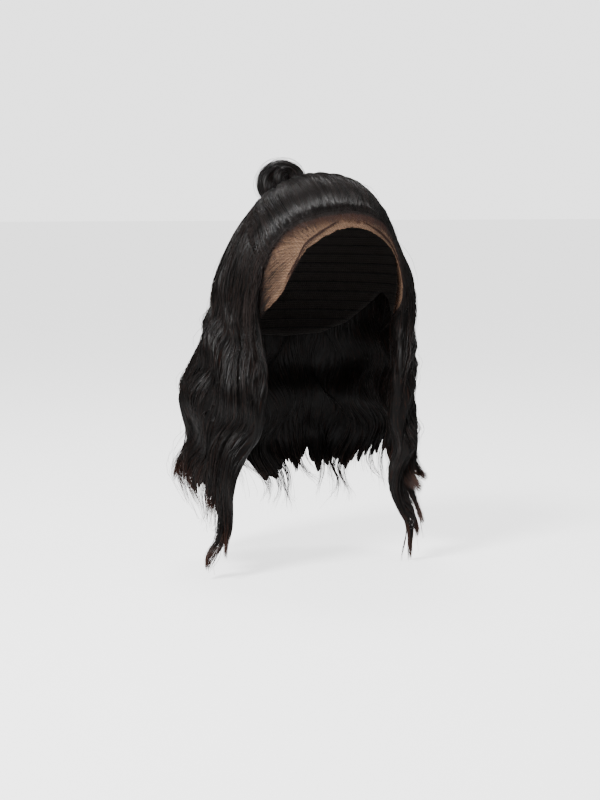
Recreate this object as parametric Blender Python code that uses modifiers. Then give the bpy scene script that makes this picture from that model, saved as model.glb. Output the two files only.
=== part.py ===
"""Lace front wig: half-up body wave hair on a stretch cap with a sheer lace front.

The wearer faces -Y, the wearer's left is +X and +Z is up, in metres.
The origin is the inside of the cap at the crown, where the wig sits on the head.
"""

import math

import bmesh
import bpy
import numpy as np
from mathutils import Matrix, Vector

COLLECTION_NAME = "lace_front_wig"

# Head form that the cap is cut for, measured from its widest level
CAP_HALF_WIDTH = 0.076
CAP_HALF_FRONT = 0.094
CAP_HALF_BACK = 0.098
CAP_CROWN_HEIGHT = 0.098

# Walls of the cap and of the lace, and the gap that touching pieces keep
CAP_WALL = 0.0012
LACE_WALL = 0.0010
CLEARANCE = 0.0003

# Hair lies this far over the cap, so that its flat faces clear the cap's round ones
HAIR_LIFT = CAP_WALL + 5.0 * CLEARANCE
ROOT_GAP = 2.0 * CLEARANCE
WELD_DISTANCE = 0.00001

# Bulk of the hair over the crown and in the loose falls
CROWN_THICKNESS = 0.0145
FALL_THICKNESS = 0.033

# Height from the crown of the cap down to the longest tip
HAIR_DROP = 0.378

# Body wave of the falls: crest to crest, in and out, and side to side
WAVE_LENGTH = 0.080
WAVE_DEPTH = 0.0055
WAVE_SWAY = 0.0040
WAVE_START = 0.38
WAVE_FULL = 0.56

# Knot at the back of the crown: its loop, its inner coil, its stem and its tie
KNOT_RADIUS = 0.0165
KNOT_ROPE = 0.0092
COIL_RADIUS = 0.0075
COIL_ROPE = 0.0080
STEM_RADIUS = 0.011
TIE_WIRE = 0.0020
KNOT_SIDE_SHIFT = -0.007
KNOT_RISE = 0.75
KNOT_CORE = 0.80
CORE_BACK = -0.50
CORE_FRONT = 0.60
NECK_SHIFT = 0.40
NECK_TAPER = 0.75

# Loop of the knot: half its turn in degrees, where it starts to draw in and by how much
LOOP_HALF_TURN = 176.0
LOOP_PINCH_START = 100.0
LOOP_PINCH = 0.48
LOOP_LEAN = 0.30
LOOP_TWIST = 0.0035
LOOP_STOPS = 21

# Coil of the knot: its turn in degrees, and its place as shares of the loop's sizes
COIL_START = -200.0
COIL_END = 130.0
COIL_SIDE = 0.45
COIL_RISE = 0.12
COIL_SHIFT = 0.60
COIL_STOPS = 17
ROPE_SIDES = 8
TIE_SEGMENTS = 24

# The gather is where the stem leaves the head, as a bearing and an angle from the crown
GATHER_BEARING = 180.0
GATHER_POLAR = 38.0
STEM_GAP = 0.0023
GATHER_OPEN = STEM_RADIUS + STEM_GAP

# Corner of the dense hairline at each temple, where the section line to the knot starts
TEMPLE_BEARING = 73.0
TEMPLE_POLAR = 76.0

# Lace: the bearing where it ends beside the ear, and the seam's angle from the crown in front
LACE_END = 81.0
SEAM_FRONT_POLAR = 12.0
SEAM_POWER = 4.0
SEAM_BEYOND = 1.0
SEAM_STEP = 0.5

# Gaps at the seam, at the lace's end and beside the ear, in clearances
SEAM_GAPS = 1.3
LACE_END_GAPS = 1.2
EAR_SIDE_GAPS = 2.0
LACE_ROWS = 6
CAP_ROWS = 9

# Bearings of the columns that the lace and the cap share at the seam, and of the rest of the cap
SEAM_BEARINGS = (0.0, 9.0, 18.0, 27.0, 34.0, 40.0, 44.0, 47.0, 50.0, 53.0, 57.0, 62.0, 67.0, 72.0, 77.0)
BACK_BEARINGS = (84.0, 88.0, 94.0, 100.0, 108.0, 118.0, 130.0, 142.0, 155.0, 168.0, 180.0)

# Level of the head path's end, and levels of the falls between the widest level and the tips
SIDE_POLAR = 100.0
JAW_LEVEL = 0.32
SHOULDER_LEVEL = 0.66
HEAD_STOPS = 6

# Front edge of the lace and lower edge of the cap, in degrees
# Columns: bearing from the face, angle from the crown
CAP_EDGE = (
    (0.0, 50.0),
    (15.0, 52.0),
    (28.0, 57.0),
    (40.0, 64.0),
    (47.0, 72.0),
    (52.0, 81.0),
    (56.0, 88.0),
    (62.0, 94.0),
    (70.0, 99.0),
    (80.0, 104.0),
    (84.0, 105.0),
    (92.0, 96.0),
    (100.0, 92.0),
    (112.0, 100.0),
    (130.0, 112.0),
    (150.0, 119.0),
    (180.0, 121.0),
)

# Dense hairline, in degrees
# Columns: bearing from the face, angle from the crown
HAIRLINE = (
    (0.0, 38.0),
    (25.0, 40.0),
    (50.0, 46.0),
    (62.0, 53.0),
    (69.0, 63.0),
    (73.0, 76.0),
)

# Bulk of the swept hair from the hairline back to the knot
# Columns: share of the way, share of CROWN_THICKNESS
SWEEP_BULK = (
    (0.0, 0.10),
    (0.08, 0.36),
    (0.20, 0.66),
    (0.38, 0.93),
    (0.62, 1.0),
    (0.80, 0.64),
    (1.0, 0.38),
)

# Bulk of the falls from root to tip
# Columns: share of the length, share of the full thickness
FALL_BULK = (
    (0.0, 1.0),
    (0.62, 1.0),
    (0.86, 0.62),
    (1.0, 0.07),
)

# Guides of the falls, from the wearer's right temple round the back to the left one.
# border: place along the section line, 0 and 4 at the temples, 1 to 3 round the stem
# side: bearing at SIDE_POLAR, jaw, shoulder and tip: x over CAP_HALF_WIDTH, y over
# CAP_HALF_BACK, tip_z: share of the drop, body: share of FALL_THICKNESS,
# crest: share of the drop at which one wave crest lies, swell: share of the length to full body
GUIDE_COLUMNS = (
    "border", "side", "jaw_x", "jaw_y", "shoulder_x", "shoulder_y",
    "tip_x", "tip_y", "tip_z", "body", "crest", "swell",
)
GUIDES = (
    (0.00, -76.0, -0.95, -0.45, -1.37, -0.45, -1.70, -0.47, 1.00, 0.55, 0.66, 0.30),
    (0.35, -90.0, -1.16, -0.08, -1.53, -0.06, -1.79, -0.12, 0.87, 0.90, 0.66, 0.40),
    (0.75, -115.0, -1.18, 0.45, -1.50, 0.57, -1.63, 0.45, 0.81, 1.00, 0.65, 0.44),
    (1.20, -148.0, -0.66, 0.94, -0.79, 1.02, -0.76, 0.94, 0.88, 0.80, 0.60, 0.40),
    (2.00, -180.0, 0.00, 1.02, 0.00, 1.08, 0.00, 1.00, 0.92, 0.80, 0.55, 0.30),
    (2.80, -212.0, 0.66, 0.94, 0.76, 0.98, 0.74, 0.92, 0.88, 0.80, 0.55, 0.28),
    (3.25, -245.0, 1.06, 0.41, 1.24, 0.41, 1.32, 0.37, 0.83, 0.76, 0.55, 0.24),
    (3.65, -270.0, 1.02, -0.04, 1.22, -0.06, 1.47, -0.18, 0.80, 0.68, 0.55, 0.18),
    (4.00, -284.0, 0.85, -0.33, 0.84, -0.24, 1.21, -0.29, 1.04, 0.54, 0.55, 0.16),
)
BORDER_END = 4.0

# Falls: name, first and last guide, number of locks
FALLS = (
    ("right_fall", 0.0, 2.5, 5),
    ("back_right_fall", 2.5, 4.0, 3),
    ("back_left_fall", 4.0, 5.5, 3),
    ("left_fall", 5.5, 8.0, 5),
)

# Section of one lock, groove to groove: thickness and length as shares of the crest's
LOCK_COLUMNS = ("bulk", "length")
LOCK_SECTION = (
    (0.60, 0.85),
    (0.88, 0.95),
    (1.00, 1.00),
    (0.88, 0.95),
)
LOCK_TIPS = (1.00, 0.94, 0.98, 0.92, 0.97)
CROWN_LOCKS = 10
CROWN_GROOVE = 0.17
FALL_ROWS = 20
FALL_ROW_SPREAD = 0.9
CROWN_ROWS = 12
CROWN_ROW_SPREAD = 1.25
PATH_SAMPLES = 97
GUIDE_STEP = 0.04
WAY_STEP = 0.01

# Colours: linear RGB, with roughness
HAIR_COLOUR = (0.012, 0.010, 0.009)
HAIR_ROUGHNESS = 0.38
LACE_COLOUR = (0.42, 0.25, 0.16)
LACE_ROUGHNESS = 0.75
CAP_COLOUR = (0.030, 0.024, 0.020)
CAP_ROUGHNESS = 0.85
TIE_COLOUR = (0.010, 0.010, 0.010)
TIE_ROUGHNESS = 0.65


def direction(bearing, polar):
    """Unit direction from the middle of the head form; bearing 0 is the face, + the left."""
    b = math.radians(bearing)
    p = math.radians(polar)
    return np.array((math.sin(p) * math.sin(b), -math.sin(p) * math.cos(b), math.cos(p)))


def head_normal(unit):
    half_length = CAP_HALF_FRONT if unit[1] < 0.0 else CAP_HALF_BACK
    normal = unit / np.array((CAP_HALF_WIDTH, half_length, CAP_CROWN_HEIGHT))
    return normal / np.linalg.norm(normal)


def head_point(unit, lift):
    """Point over the head form in a direction, lift above its surface."""
    half_length = CAP_HALF_FRONT if unit[1] < 0.0 else CAP_HALF_BACK
    surface = unit * np.array((CAP_HALF_WIDTH, half_length, CAP_CROWN_HEIGHT))
    surface[2] -= CAP_CROWN_HEIGHT
    return surface + head_normal(unit) * lift


def slerp(start, end, share):
    angle = math.acos(max(-1.0, min(1.0, float(np.dot(start, end)))))
    blend = start * math.sin((1.0 - share) * angle) + end * math.sin(share * angle)
    return blend / math.sin(angle)


def table_value(table, place):
    """Second column of a two-column table, straight between its rows."""
    places, values = zip(*table)
    return float(np.interp(place, places, values))


def smooth(share):
    share = max(0.0, min(1.0, share))
    return share * share * (3.0 - 2.0 * share)


def catmull(rows, place):
    """Smooth value at a place along the rows of a table, through every row."""
    rows = np.asarray(rows, dtype=float)
    last = len(rows) - 1
    place = max(0.0, min(float(last), place))
    index = min(int(place), last - 1)
    t = place - index
    p1 = rows[index]
    p2 = rows[index + 1]
    p0 = rows[index - 1] if index > 0 else 2.0 * p1 - p2
    p3 = rows[index + 2] if index + 2 <= last else 2.0 * p2 - p1
    bend = 2.0 * p0 - 5.0 * p1 + 4.0 * p2 - p3
    turn = 3.0 * p1 - p0 - 3.0 * p2 + p3
    return 0.5 * (2.0 * p1 + (p2 - p0) * t + bend * t * t + turn * t ** 3)


def flowing_curve(stops, count):
    """Points on one smooth curve through unevenly spaced stops, with no overshoot between them."""
    stops = np.asarray(stops, dtype=float)
    spans = np.linalg.norm(np.diff(stops, axis=0), axis=1)
    places = np.concatenate(((0.0,), np.cumsum(spans)))
    slopes = np.diff(stops, axis=0) / spans[:, None]
    before = spans[:-1, None]
    after = spans[1:, None]
    middle = (slopes[:-1] * after + slopes[1:] * before) / (before + after)
    tangents = np.vstack((slopes[:1], middle, slopes[-1:]))
    wanted = np.linspace(0.0, places[-1], count)
    index = np.clip(np.searchsorted(places, wanted, side="right") - 1, 0, len(spans) - 1)
    t = ((wanted - places[index]) / spans[index])[:, None]
    span = spans[index][:, None]
    start = (2.0 * t ** 3 - 3.0 * t ** 2 + 1.0) * stops[index]
    leave = (t ** 3 - 2.0 * t ** 2 + t) * span * tangents[index]
    end = (3.0 * t ** 2 - 2.0 * t ** 3) * stops[index + 1]
    arrive = (t ** 3 - t ** 2) * span * tangents[index + 1]
    return start + leave + end + arrive


def stem_direction(turn):
    """Direction on the ring that the hair leaves open round the stem; turn 0 is its front."""
    polar = math.radians(GATHER_POLAR)
    gather = direction(GATHER_BEARING, GATHER_POLAR)
    to_front = np.array((0.0, -math.cos(polar), math.sin(polar)))
    to_left = np.array((1.0, 0.0, 0.0))
    angle = math.radians(turn)
    forward = to_front * (math.cos(angle) * GATHER_OPEN / CAP_CROWN_HEIGHT)
    sideways = to_left * (math.sin(angle) * GATHER_OPEN / CAP_HALF_WIDTH)
    rim = gather + forward + sideways
    return rim / np.linalg.norm(rim)


def border_direction(place):
    """Section line: right temple (0), right of the stem (1), behind it (2), left (3), left temple (4)."""
    if place < 1.0:
        return slerp(direction(-TEMPLE_BEARING, TEMPLE_POLAR), stem_direction(-90.0), place)
    if place <= BORDER_END - 1.0:
        return stem_direction(-90.0 * place)
    temple = direction(TEMPLE_BEARING, TEMPLE_POLAR)
    return slerp(stem_direction(90.0), temple, place - BORDER_END + 1.0)


def sweep_thickness(way):
    return CROWN_THICKNESS * table_value(SWEEP_BULK, way)


def drop_level(share):
    """Height at a share of the drop from the cap's widest level to the longest tip."""
    return -CAP_CROWN_HEIGHT - share * (HAIR_DROP - CAP_CROWN_HEIGHT)


def fall_path(guide_place, ways):
    """Points under the hair along one guide, at shares of its length from root to tip."""
    row = dict(zip(GUIDE_COLUMNS, catmull(GUIDES, guide_place)))
    root = border_direction(row["border"])
    side = direction(row["side"], SIDE_POLAR)
    shares = np.linspace(0.0, 1.0, HEAD_STOPS)
    stops = [head_point(slerp(root, side, share), HAIR_LIFT) for share in shares]
    for level, stop in ((JAW_LEVEL, "jaw"), (SHOULDER_LEVEL, "shoulder"), (row["tip_z"], "tip")):
        x = row[stop + "_x"] * CAP_HALF_WIDTH
        y = row[stop + "_y"] * CAP_HALF_BACK
        stops.append(np.array((x, y, drop_level(level))))
    fine = flowing_curve(stops, PATH_SAMPLES)
    lengths = np.concatenate(((0.0,), np.cumsum(np.linalg.norm(np.diff(fine, axis=0), axis=1))))
    first = ROOT_GAP / lengths[-1]
    wanted = (first + (1.0 - first) * np.asarray(ways)) * lengths[-1]
    return np.stack([np.interp(wanted, lengths, fine[:, axis]) for axis in range(3)], axis=1)


def unit_rows(vectors):
    return vectors / np.linalg.norm(vectors, axis=1, keepdims=True)


def fall_column(guide_place, ways, edge_side, lock_bulk):
    """Inner and outer points of one column of a fall."""
    row = dict(zip(GUIDE_COLUMNS, catmull(GUIDES, guide_place)))
    points = fall_path(guide_place, ways)
    before = fall_path(max(0.0, guide_place - GUIDE_STEP), ways)
    after = fall_path(min(len(GUIDES) - 1.0, guide_place + GUIDE_STEP), ways)
    across = unit_rows(after - before)
    up = fall_path(guide_place, np.clip(ways - WAY_STEP, 0.0, 1.0))
    down = fall_path(guide_place, np.clip(ways + WAY_STEP, 0.0, 1.0))
    outward = unit_rows(np.cross(across, down - up))
    crest = drop_level(row["crest"])
    root_bulk = sweep_thickness(min(row["border"], BORDER_END - row["border"], 1.0))
    inner = []
    outer = []
    for index, way in enumerate(ways):
        strength = smooth((way - WAVE_START) / (WAVE_FULL - WAVE_START))
        phase = 2.0 * math.pi * (points[index][2] - crest) / WAVE_LENGTH
        wave = outward[index] * (WAVE_DEPTH * strength * math.cos(phase))
        sway = across[index] * (WAVE_SWAY * strength * math.sin(phase))
        gap = across[index] * (edge_side * 0.5 * CLEARANCE)
        base = points[index] + wave + sway - gap
        full = FALL_THICKNESS * row["body"]
        swell = smooth(way / row["swell"])
        bulk = root_bulk + (full - root_bulk) * swell
        groove = 1.0 + (lock_bulk - 1.0) * swell
        thickness = bulk * groove * table_value(FALL_BULK, way)
        inner.append(base)
        outer.append(base + outward[index] * thickness)
    return inner, outer


def crown_column(place, ways, lock_bulk):
    """Inner and outer points of one column of the swept hair, place -1 to 1 between the temples."""
    bearing = place * TEMPLE_BEARING
    hairline = direction(bearing, table_value(HAIRLINE, abs(bearing)))
    stem = stem_direction(place * 90.0)
    inner = []
    outer = []
    for way in ways:
        unit = slerp(hairline, stem, way)
        thickness = sweep_thickness(way) * lock_bulk
        inner.append(head_point(unit, HAIR_LIFT))
        outer.append(head_point(unit, HAIR_LIFT + thickness))
    return inner, outer


def lock_share(column, name):
    row = LOCK_SECTION[column % len(LOCK_SECTION)]
    return row[LOCK_COLUMNS.index(name)]


def plain_material(name, colour, roughness):
    material = bpy.data.materials.new(name)
    material.use_nodes = True
    shader = material.node_tree.nodes["Principled BSDF"]
    shader.inputs["Base Color"].default_value = (*colour, 1.0)
    shader.inputs["Roughness"].default_value = roughness
    shader.inputs["Metallic"].default_value = 0.0
    return material


def add_object(name, mesh, material, collection):
    piece = bpy.data.objects.new(name, mesh)
    mesh.materials.clear()
    mesh.materials.append(material)
    collection.objects.link(piece)
    return piece


def grid_place(vertex, columns, rows):
    return round((vertex.co.x + 0.5) * columns), round((vertex.co.y + 0.5) * rows)


def hair_sheet(name, inner, outer, material, collection):
    """A closed lock sheet: a grid for its outer face, extruded once to its inner face."""
    columns = len(outer) - 1
    rows = len(outer[0]) - 1
    sheet = bmesh.new()
    bmesh.ops.create_grid(sheet, x_segments=columns, y_segments=rows, size=0.5)
    wall = bmesh.ops.extrude_face_region(sheet, geom=sheet.faces[:], use_keep_orig=True)
    under = {element for element in wall["geom"] if isinstance(element, bmesh.types.BMVert)}
    for vertex in sheet.verts:
        column, row = grid_place(vertex, columns, rows)
        surface = inner if vertex in under else outer
        vertex.co = surface[column][row]
    bmesh.ops.recalc_face_normals(sheet, faces=sheet.faces[:])
    # The shorter diagonal splits the side walls of neighbours in the same way
    bmesh.ops.triangulate(sheet, faces=sheet.faces[:], quad_method="SHORT_EDGE")
    mesh = bpy.data.meshes.new(name)
    sheet.to_mesh(mesh)
    sheet.free()
    mesh.shade_smooth()
    return add_object(name, mesh, material, collection)


def seam_polar(bearing):
    """Angle from the crown of the seam between the lace and the cap."""
    end = table_value(CAP_EDGE, LACE_END + SEAM_BEYOND)
    share = min(1.0, abs(bearing) / (LACE_END + SEAM_BEYOND))
    return SEAM_FRONT_POLAR + (end - SEAM_FRONT_POLAR) * share ** SEAM_POWER


def angle_of(length):
    """Angle in degrees that a length spans on the head form, at its narrowest."""
    return math.degrees(length / CAP_HALF_WIDTH)


def seam_gap(bearing):
    """Angle that the cap's edge keeps from the seam, wider where the seam runs steeply."""
    polar = math.radians(seam_polar(bearing))
    before = seam_polar(abs(bearing) - SEAM_STEP)
    after = seam_polar(abs(bearing) + SEAM_STEP)
    slope = (after - before) / (2.0 * SEAM_STEP * math.sin(polar))
    return SEAM_GAPS * angle_of(CLEARANCE) * math.hypot(1.0, slope)


def head_shell(name, bearings, rows, polar_at, wall, material, collection):
    """An open patch of the head form, given its wall with Solidify."""
    columns = len(bearings) - 1
    patch = bmesh.new()
    bmesh.ops.create_grid(patch, x_segments=columns, y_segments=rows, size=0.5)
    for vertex in patch.verts:
        column, row = grid_place(vertex, columns, rows)
        bearing = bearings[column]
        vertex.co = head_point(direction(bearing, polar_at(bearing, row / rows)), 0.0)
    bmesh.ops.remove_doubles(patch, verts=patch.verts[:], dist=WELD_DISTANCE)
    bmesh.ops.recalc_face_normals(patch, faces=patch.faces[:])
    top = max(patch.faces, key=lambda face: face.calc_center_median().z)
    if top.normal.z < 0.0:
        bmesh.ops.reverse_faces(patch, faces=patch.faces[:])
    mesh = bpy.data.meshes.new(name)
    patch.to_mesh(mesh)
    patch.free()
    mesh.shade_smooth()
    shell = add_object(name, mesh, material, collection)
    solidify = shell.modifiers.new("wall", "SOLIDIFY")
    solidify.thickness = wall
    solidify.offset = 1.0
    return shell


def build_lace(material, collection):
    half = SEAM_BEARINGS + (LACE_END,)
    bearings = sorted({-value for value in half} | set(half))

    def polar_at(bearing, share):
        seam = seam_polar(bearing)
        edge = table_value(CAP_EDGE, abs(bearing))
        return seam + (edge - seam) * share

    return head_shell("lace_front", bearings, LACE_ROWS, polar_at, LACE_WALL, material, collection)


def build_cap(material, collection):
    """The cap behind the seam; beside the ears its edge steps down along the lace's end."""
    step = angle_of(CLEARANCE)
    lace_side = LACE_END + LACE_END_GAPS * step
    ear_side = LACE_END + EAR_SIDE_GAPS * step
    half = SEAM_BEARINGS + (lace_side, ear_side) + BACK_BEARINGS
    bearings = sorted({-value for value in half} | set(half))

    def polar_at(bearing, share):
        if abs(bearing) <= lace_side:
            edge = seam_polar(bearing) - seam_gap(bearing)
        else:
            edge = table_value(CAP_EDGE, abs(bearing))
        return edge * share

    return head_shell("wig_cap", bearings, CAP_ROWS, polar_at, CAP_WALL, material, collection)


def build_crown(material, collection):
    columns = CROWN_LOCKS * len(LOCK_SECTION)
    ways = np.linspace(0.0, 1.0, CROWN_ROWS + 1) ** CROWN_ROW_SPREAD
    inner = []
    outer = []
    for column in range(columns + 1):
        depth = (1.0 - lock_share(column, "bulk")) / (1.0 - lock_share(0, "bulk"))
        place = 2.0 * column / columns - 1.0
        under, over = crown_column(place, ways, 1.0 - CROWN_GROOVE * depth)
        inner.append(under)
        outer.append(over)
    return hair_sheet("crown_hair", inner, outer, material, collection)


def build_falls(material, collection):
    ways = np.linspace(0.0, 1.0, FALL_ROWS + 1) ** FALL_ROW_SPREAD
    for name, first, last, locks in FALLS:
        columns = locks * len(LOCK_SECTION)
        inner = []
        outer = []
        for column in range(columns + 1):
            lock = min(column // len(LOCK_SECTION), locks - 1)
            place = first + (last - first) * column / columns
            edge_side = {0: -1.0, columns: 1.0}.get(column, 0.0)
            length = lock_share(column, "length")
            if column % len(LOCK_SECTION):
                length *= LOCK_TIPS[lock % len(LOCK_TIPS)]
            under, over = fall_column(place, ways * length, edge_side, lock_share(column, "bulk"))
            inner.append(under)
            outer.append(over)
        hair_sheet(name, inner, outer, material, collection)


def knot_frame():
    """Axes at the gather: to the wearer's left, back down the head, and up off it."""
    gather = direction(GATHER_BEARING, GATHER_POLAR)
    off = Vector(head_normal(gather))
    left = Vector((1.0, 0.0, 0.0))
    back = off.cross(left)
    foot = Vector(head_point(gather, 0.0))
    frame = Matrix((left, back, off)).transposed().to_4x4()
    frame.translation = foot
    return frame


def tube_mesh(points, radii, sides):
    """Closed mesh of a curve tube through the points, with its caps welded."""
    curve = bpy.data.curves.new("rope", "CURVE")
    curve.dimensions = "3D"
    curve.bevel_depth = 1.0
    curve.bevel_resolution = sides // 4
    curve.use_fill_caps = True
    spline = curve.splines.new("POLY")
    spline.points.add(len(points) - 1)
    for place, point, radius in zip(spline.points, points, radii):
        place.co = (*point, 1.0)
        place.radius = radius
    rope = bpy.data.objects.new("rope", curve)
    bpy.context.scene.collection.objects.link(rope)
    evaluated = rope.evaluated_get(bpy.context.evaluated_depsgraph_get())
    mesh = bpy.data.meshes.new_from_object(evaluated)
    bpy.data.objects.remove(rope)
    tidy = bmesh.new()
    tidy.from_mesh(mesh)
    bmesh.ops.remove_doubles(tidy, verts=tidy.verts[:], dist=WELD_DISTANCE)
    bmesh.ops.recalc_face_normals(tidy, faces=tidy.faces[:])
    tidy.to_mesh(mesh)
    tidy.free()
    return mesh


def fill_pockets(mesh):
    """Drop the sealed pockets that coils enclose, keeping the outer skin alone."""
    skin = bmesh.new()
    skin.from_mesh(mesh)
    start = max(skin.verts, key=lambda vertex: vertex.co.z)
    outer = {start}
    waiting = [start]
    while waiting:
        vertex = waiting.pop()
        for edge in vertex.link_edges:
            neighbour = edge.other_vert(vertex)
            if neighbour not in outer:
                outer.add(neighbour)
                waiting.append(neighbour)
    pockets = [vertex for vertex in skin.verts if vertex not in outer]
    bmesh.ops.delete(skin, geom=pockets, context="VERTS")
    skin.to_mesh(mesh)
    skin.free()


def knot_levels():
    """Heights off the head form: the tie round the stem, and the middle of the loop."""
    hair_top = HAIR_LIFT + sweep_thickness(1.0)
    tie = hair_top + TIE_WIRE + 2.0 * CLEARANCE
    loop = tie + TIE_WIRE + KNOT_ROPE + KNOT_RISE * KNOT_RADIUS
    return tie, loop


def loop_points(levels):
    """Outer loop: a ring that draws in to the stem at its foot, leaning to the wearer's right."""
    points = []
    for turn in np.linspace(-LOOP_HALF_TURN, LOOP_HALF_TURN, LOOP_STOPS):
        angle = math.radians(turn)
        drawn_in = smooth((abs(turn) - LOOP_PINCH_START) / (LOOP_HALF_TURN - LOOP_PINCH_START))
        pinch = 1.0 - LOOP_PINCH * drawn_in
        side = KNOT_SIDE_SHIFT + KNOT_RADIUS * pinch * math.sin(angle)
        rise = KNOT_RADIUS * pinch * math.cos(angle)
        back = -LOOP_LEAN * rise - LOOP_TWIST * math.sin(angle)
        points.append((side, back, levels[1] + rise))
    return points


def coil_points(levels, face):
    """Inner coil: a smaller turn laid on the loop's front (face -1) or its back (face 1)."""
    points = []
    for turn in np.linspace(COIL_START, COIL_END, COIL_STOPS):
        angle = math.radians(turn)
        side = COIL_SIDE * KNOT_SIDE_SHIFT + COIL_RADIUS * math.sin(angle)
        rise = COIL_RADIUS * math.cos(angle)
        back = -LOOP_LEAN * rise + face * COIL_SHIFT * KNOT_ROPE
        points.append((side, back, levels[1] + COIL_RISE * KNOT_RADIUS + rise))
    return points


def build_knot(material, collection):
    levels = knot_levels()
    stem_foot = CAP_WALL + CLEARANCE
    loop = loop_points(levels)
    front_coil = coil_points(levels, -1.0)
    back_coil = coil_points(levels, 1.0)
    neck_top = (NECK_SHIFT * KNOT_SIDE_SHIFT, 0.0, levels[1])
    neck = [(0.0, 0.0, stem_foot), (0.0, 0.0, levels[0]), neck_top]
    core = [(KNOT_SIDE_SHIFT, share * KNOT_ROPE, levels[1]) for share in (CORE_BACK, CORE_FRONT)]
    ropes = (
        (loop, [KNOT_ROPE] * len(loop)),
        (front_coil, [COIL_ROPE] * len(front_coil)),
        (back_coil, [COIL_ROPE] * len(back_coil)),
        (neck, [STEM_RADIUS, STEM_RADIUS, NECK_TAPER * STEM_RADIUS]),
        (core, [KNOT_CORE * KNOT_RADIUS] * len(core)),
    )
    pieces = [
        add_object("rope_%d" % index, tube_mesh(points, radii, ROPE_SIDES), material, collection)
        for index, (points, radii) in enumerate(ropes)
    ]
    knot = pieces[0]
    for piece in pieces[1:]:
        union = knot.modifiers.new(piece.name, "BOOLEAN")
        union.operation = "UNION"
        union.solver = "EXACT"
        union.use_self = True
        union.object = piece
    joined = bpy.data.meshes.new_from_object(knot.evaluated_get(bpy.context.evaluated_depsgraph_get()))
    for piece in pieces:
        bpy.data.objects.remove(piece)
    fill_pockets(joined)
    joined.name = "top_knot"
    joined.transform(knot_frame())
    joined.shade_smooth()
    return add_object("top_knot", joined, material, collection)


def build_tie(material, collection):
    levels = knot_levels()
    bpy.ops.mesh.primitive_torus_add(
        major_segments=TIE_SEGMENTS,
        minor_segments=ROPE_SIDES,
        major_radius=STEM_RADIUS + TIE_WIRE + CLEARANCE,
        minor_radius=TIE_WIRE,
    )
    tie = bpy.context.object
    tie.name = "hair_tie"
    tie.data.name = "hair_tie"
    tie.data.transform(knot_frame() @ Matrix.Translation((0.0, 0.0, levels[0])))
    tie.data.materials.append(material)
    tie.data.shade_smooth()
    for holder in list(tie.users_collection):
        holder.objects.unlink(tie)
    collection.objects.link(tie)
    return tie


def clear_scene():
    for piece in list(bpy.data.objects):
        bpy.data.objects.remove(piece, do_unlink=True)


def main():
    clear_scene()
    collection = bpy.data.collections.new(COLLECTION_NAME)
    bpy.context.scene.collection.children.link(collection)
    hair = plain_material("wig_hair", HAIR_COLOUR, HAIR_ROUGHNESS)
    lace = plain_material("lace_mesh", LACE_COLOUR, LACE_ROUGHNESS)
    cap = plain_material("cap_net", CAP_COLOUR, CAP_ROUGHNESS)
    elastic = plain_material("tie_elastic", TIE_COLOUR, TIE_ROUGHNESS)
    build_cap(cap, collection)
    build_lace(lace, collection)
    build_crown(hair, collection)
    build_knot(hair, collection)
    build_tie(elastic, collection)
    build_falls(hair, collection)


main()
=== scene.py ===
"""Lace front wig: half-up body wave hair on a stretch cap, dressed strand by strand.

The wearer faces -Y, the wearer's left is +X and +Z is up, in metres.
The origin is the inside of the cap at the crown of the head.
"""

import math

import bpy
import numpy as np
from bpy.props import FloatProperty, FloatVectorProperty, IntProperty, PointerProperty
from bpy.types import Operator, Panel, PropertyGroup
from mathutils import Matrix, Vector


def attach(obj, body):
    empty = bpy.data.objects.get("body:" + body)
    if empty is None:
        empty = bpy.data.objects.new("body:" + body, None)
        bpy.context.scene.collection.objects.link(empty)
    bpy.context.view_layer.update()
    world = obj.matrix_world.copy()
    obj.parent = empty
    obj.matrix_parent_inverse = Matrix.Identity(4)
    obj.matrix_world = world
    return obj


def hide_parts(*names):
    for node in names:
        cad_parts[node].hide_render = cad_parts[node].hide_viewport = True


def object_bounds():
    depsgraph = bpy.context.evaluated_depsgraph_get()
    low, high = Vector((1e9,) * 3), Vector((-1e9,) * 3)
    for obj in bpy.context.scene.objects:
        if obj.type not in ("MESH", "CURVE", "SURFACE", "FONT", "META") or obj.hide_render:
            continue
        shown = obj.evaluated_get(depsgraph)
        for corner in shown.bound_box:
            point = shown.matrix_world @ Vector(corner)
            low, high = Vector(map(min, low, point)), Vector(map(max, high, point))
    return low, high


bl_info = {
    "name": "Lace Front Wig",
    "version": (1, 0, 0),
    "blender": (4, 5, 0),
    "location": "3D View > Sidebar > Wig",
    "description": "Builds a half-up body wave wig on a lace front cap",
    "category": "Object",
}

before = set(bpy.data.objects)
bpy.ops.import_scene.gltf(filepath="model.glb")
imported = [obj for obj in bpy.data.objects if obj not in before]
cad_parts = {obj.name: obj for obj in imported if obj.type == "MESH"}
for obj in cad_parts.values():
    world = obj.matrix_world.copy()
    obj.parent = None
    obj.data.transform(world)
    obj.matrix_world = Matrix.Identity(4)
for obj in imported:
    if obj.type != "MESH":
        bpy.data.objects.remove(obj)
CAD_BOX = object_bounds()
BODY = "root"
FULL_TURN = 2.0 * math.pi

# The gather is where the stem leaves the head, as a bearing and an angle from the crown
GATHER_BEARING = 180.0
GATHER_POLAR = 38.0

# Corner of the dense hairline at each temple, where the section line to the knot starts
TEMPLE_BEARING = 73.0
TEMPLE_POLAR = 76.0
BORDER_END = 4.0

# Lace: the bearing where it ends beside the ear, and the seam's angle from the crown in front
LACE_END = 81.0
SEAM_FRONT_POLAR = 12.0
SEAM_POWER = 4.0

# Level of the head path's end, and levels of the falls between the widest level and the tips
SIDE_POLAR = 100.0
JAW_LEVEL = 0.32
SHOULDER_LEVEL = 0.66
HEAD_STOPS = 6

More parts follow.
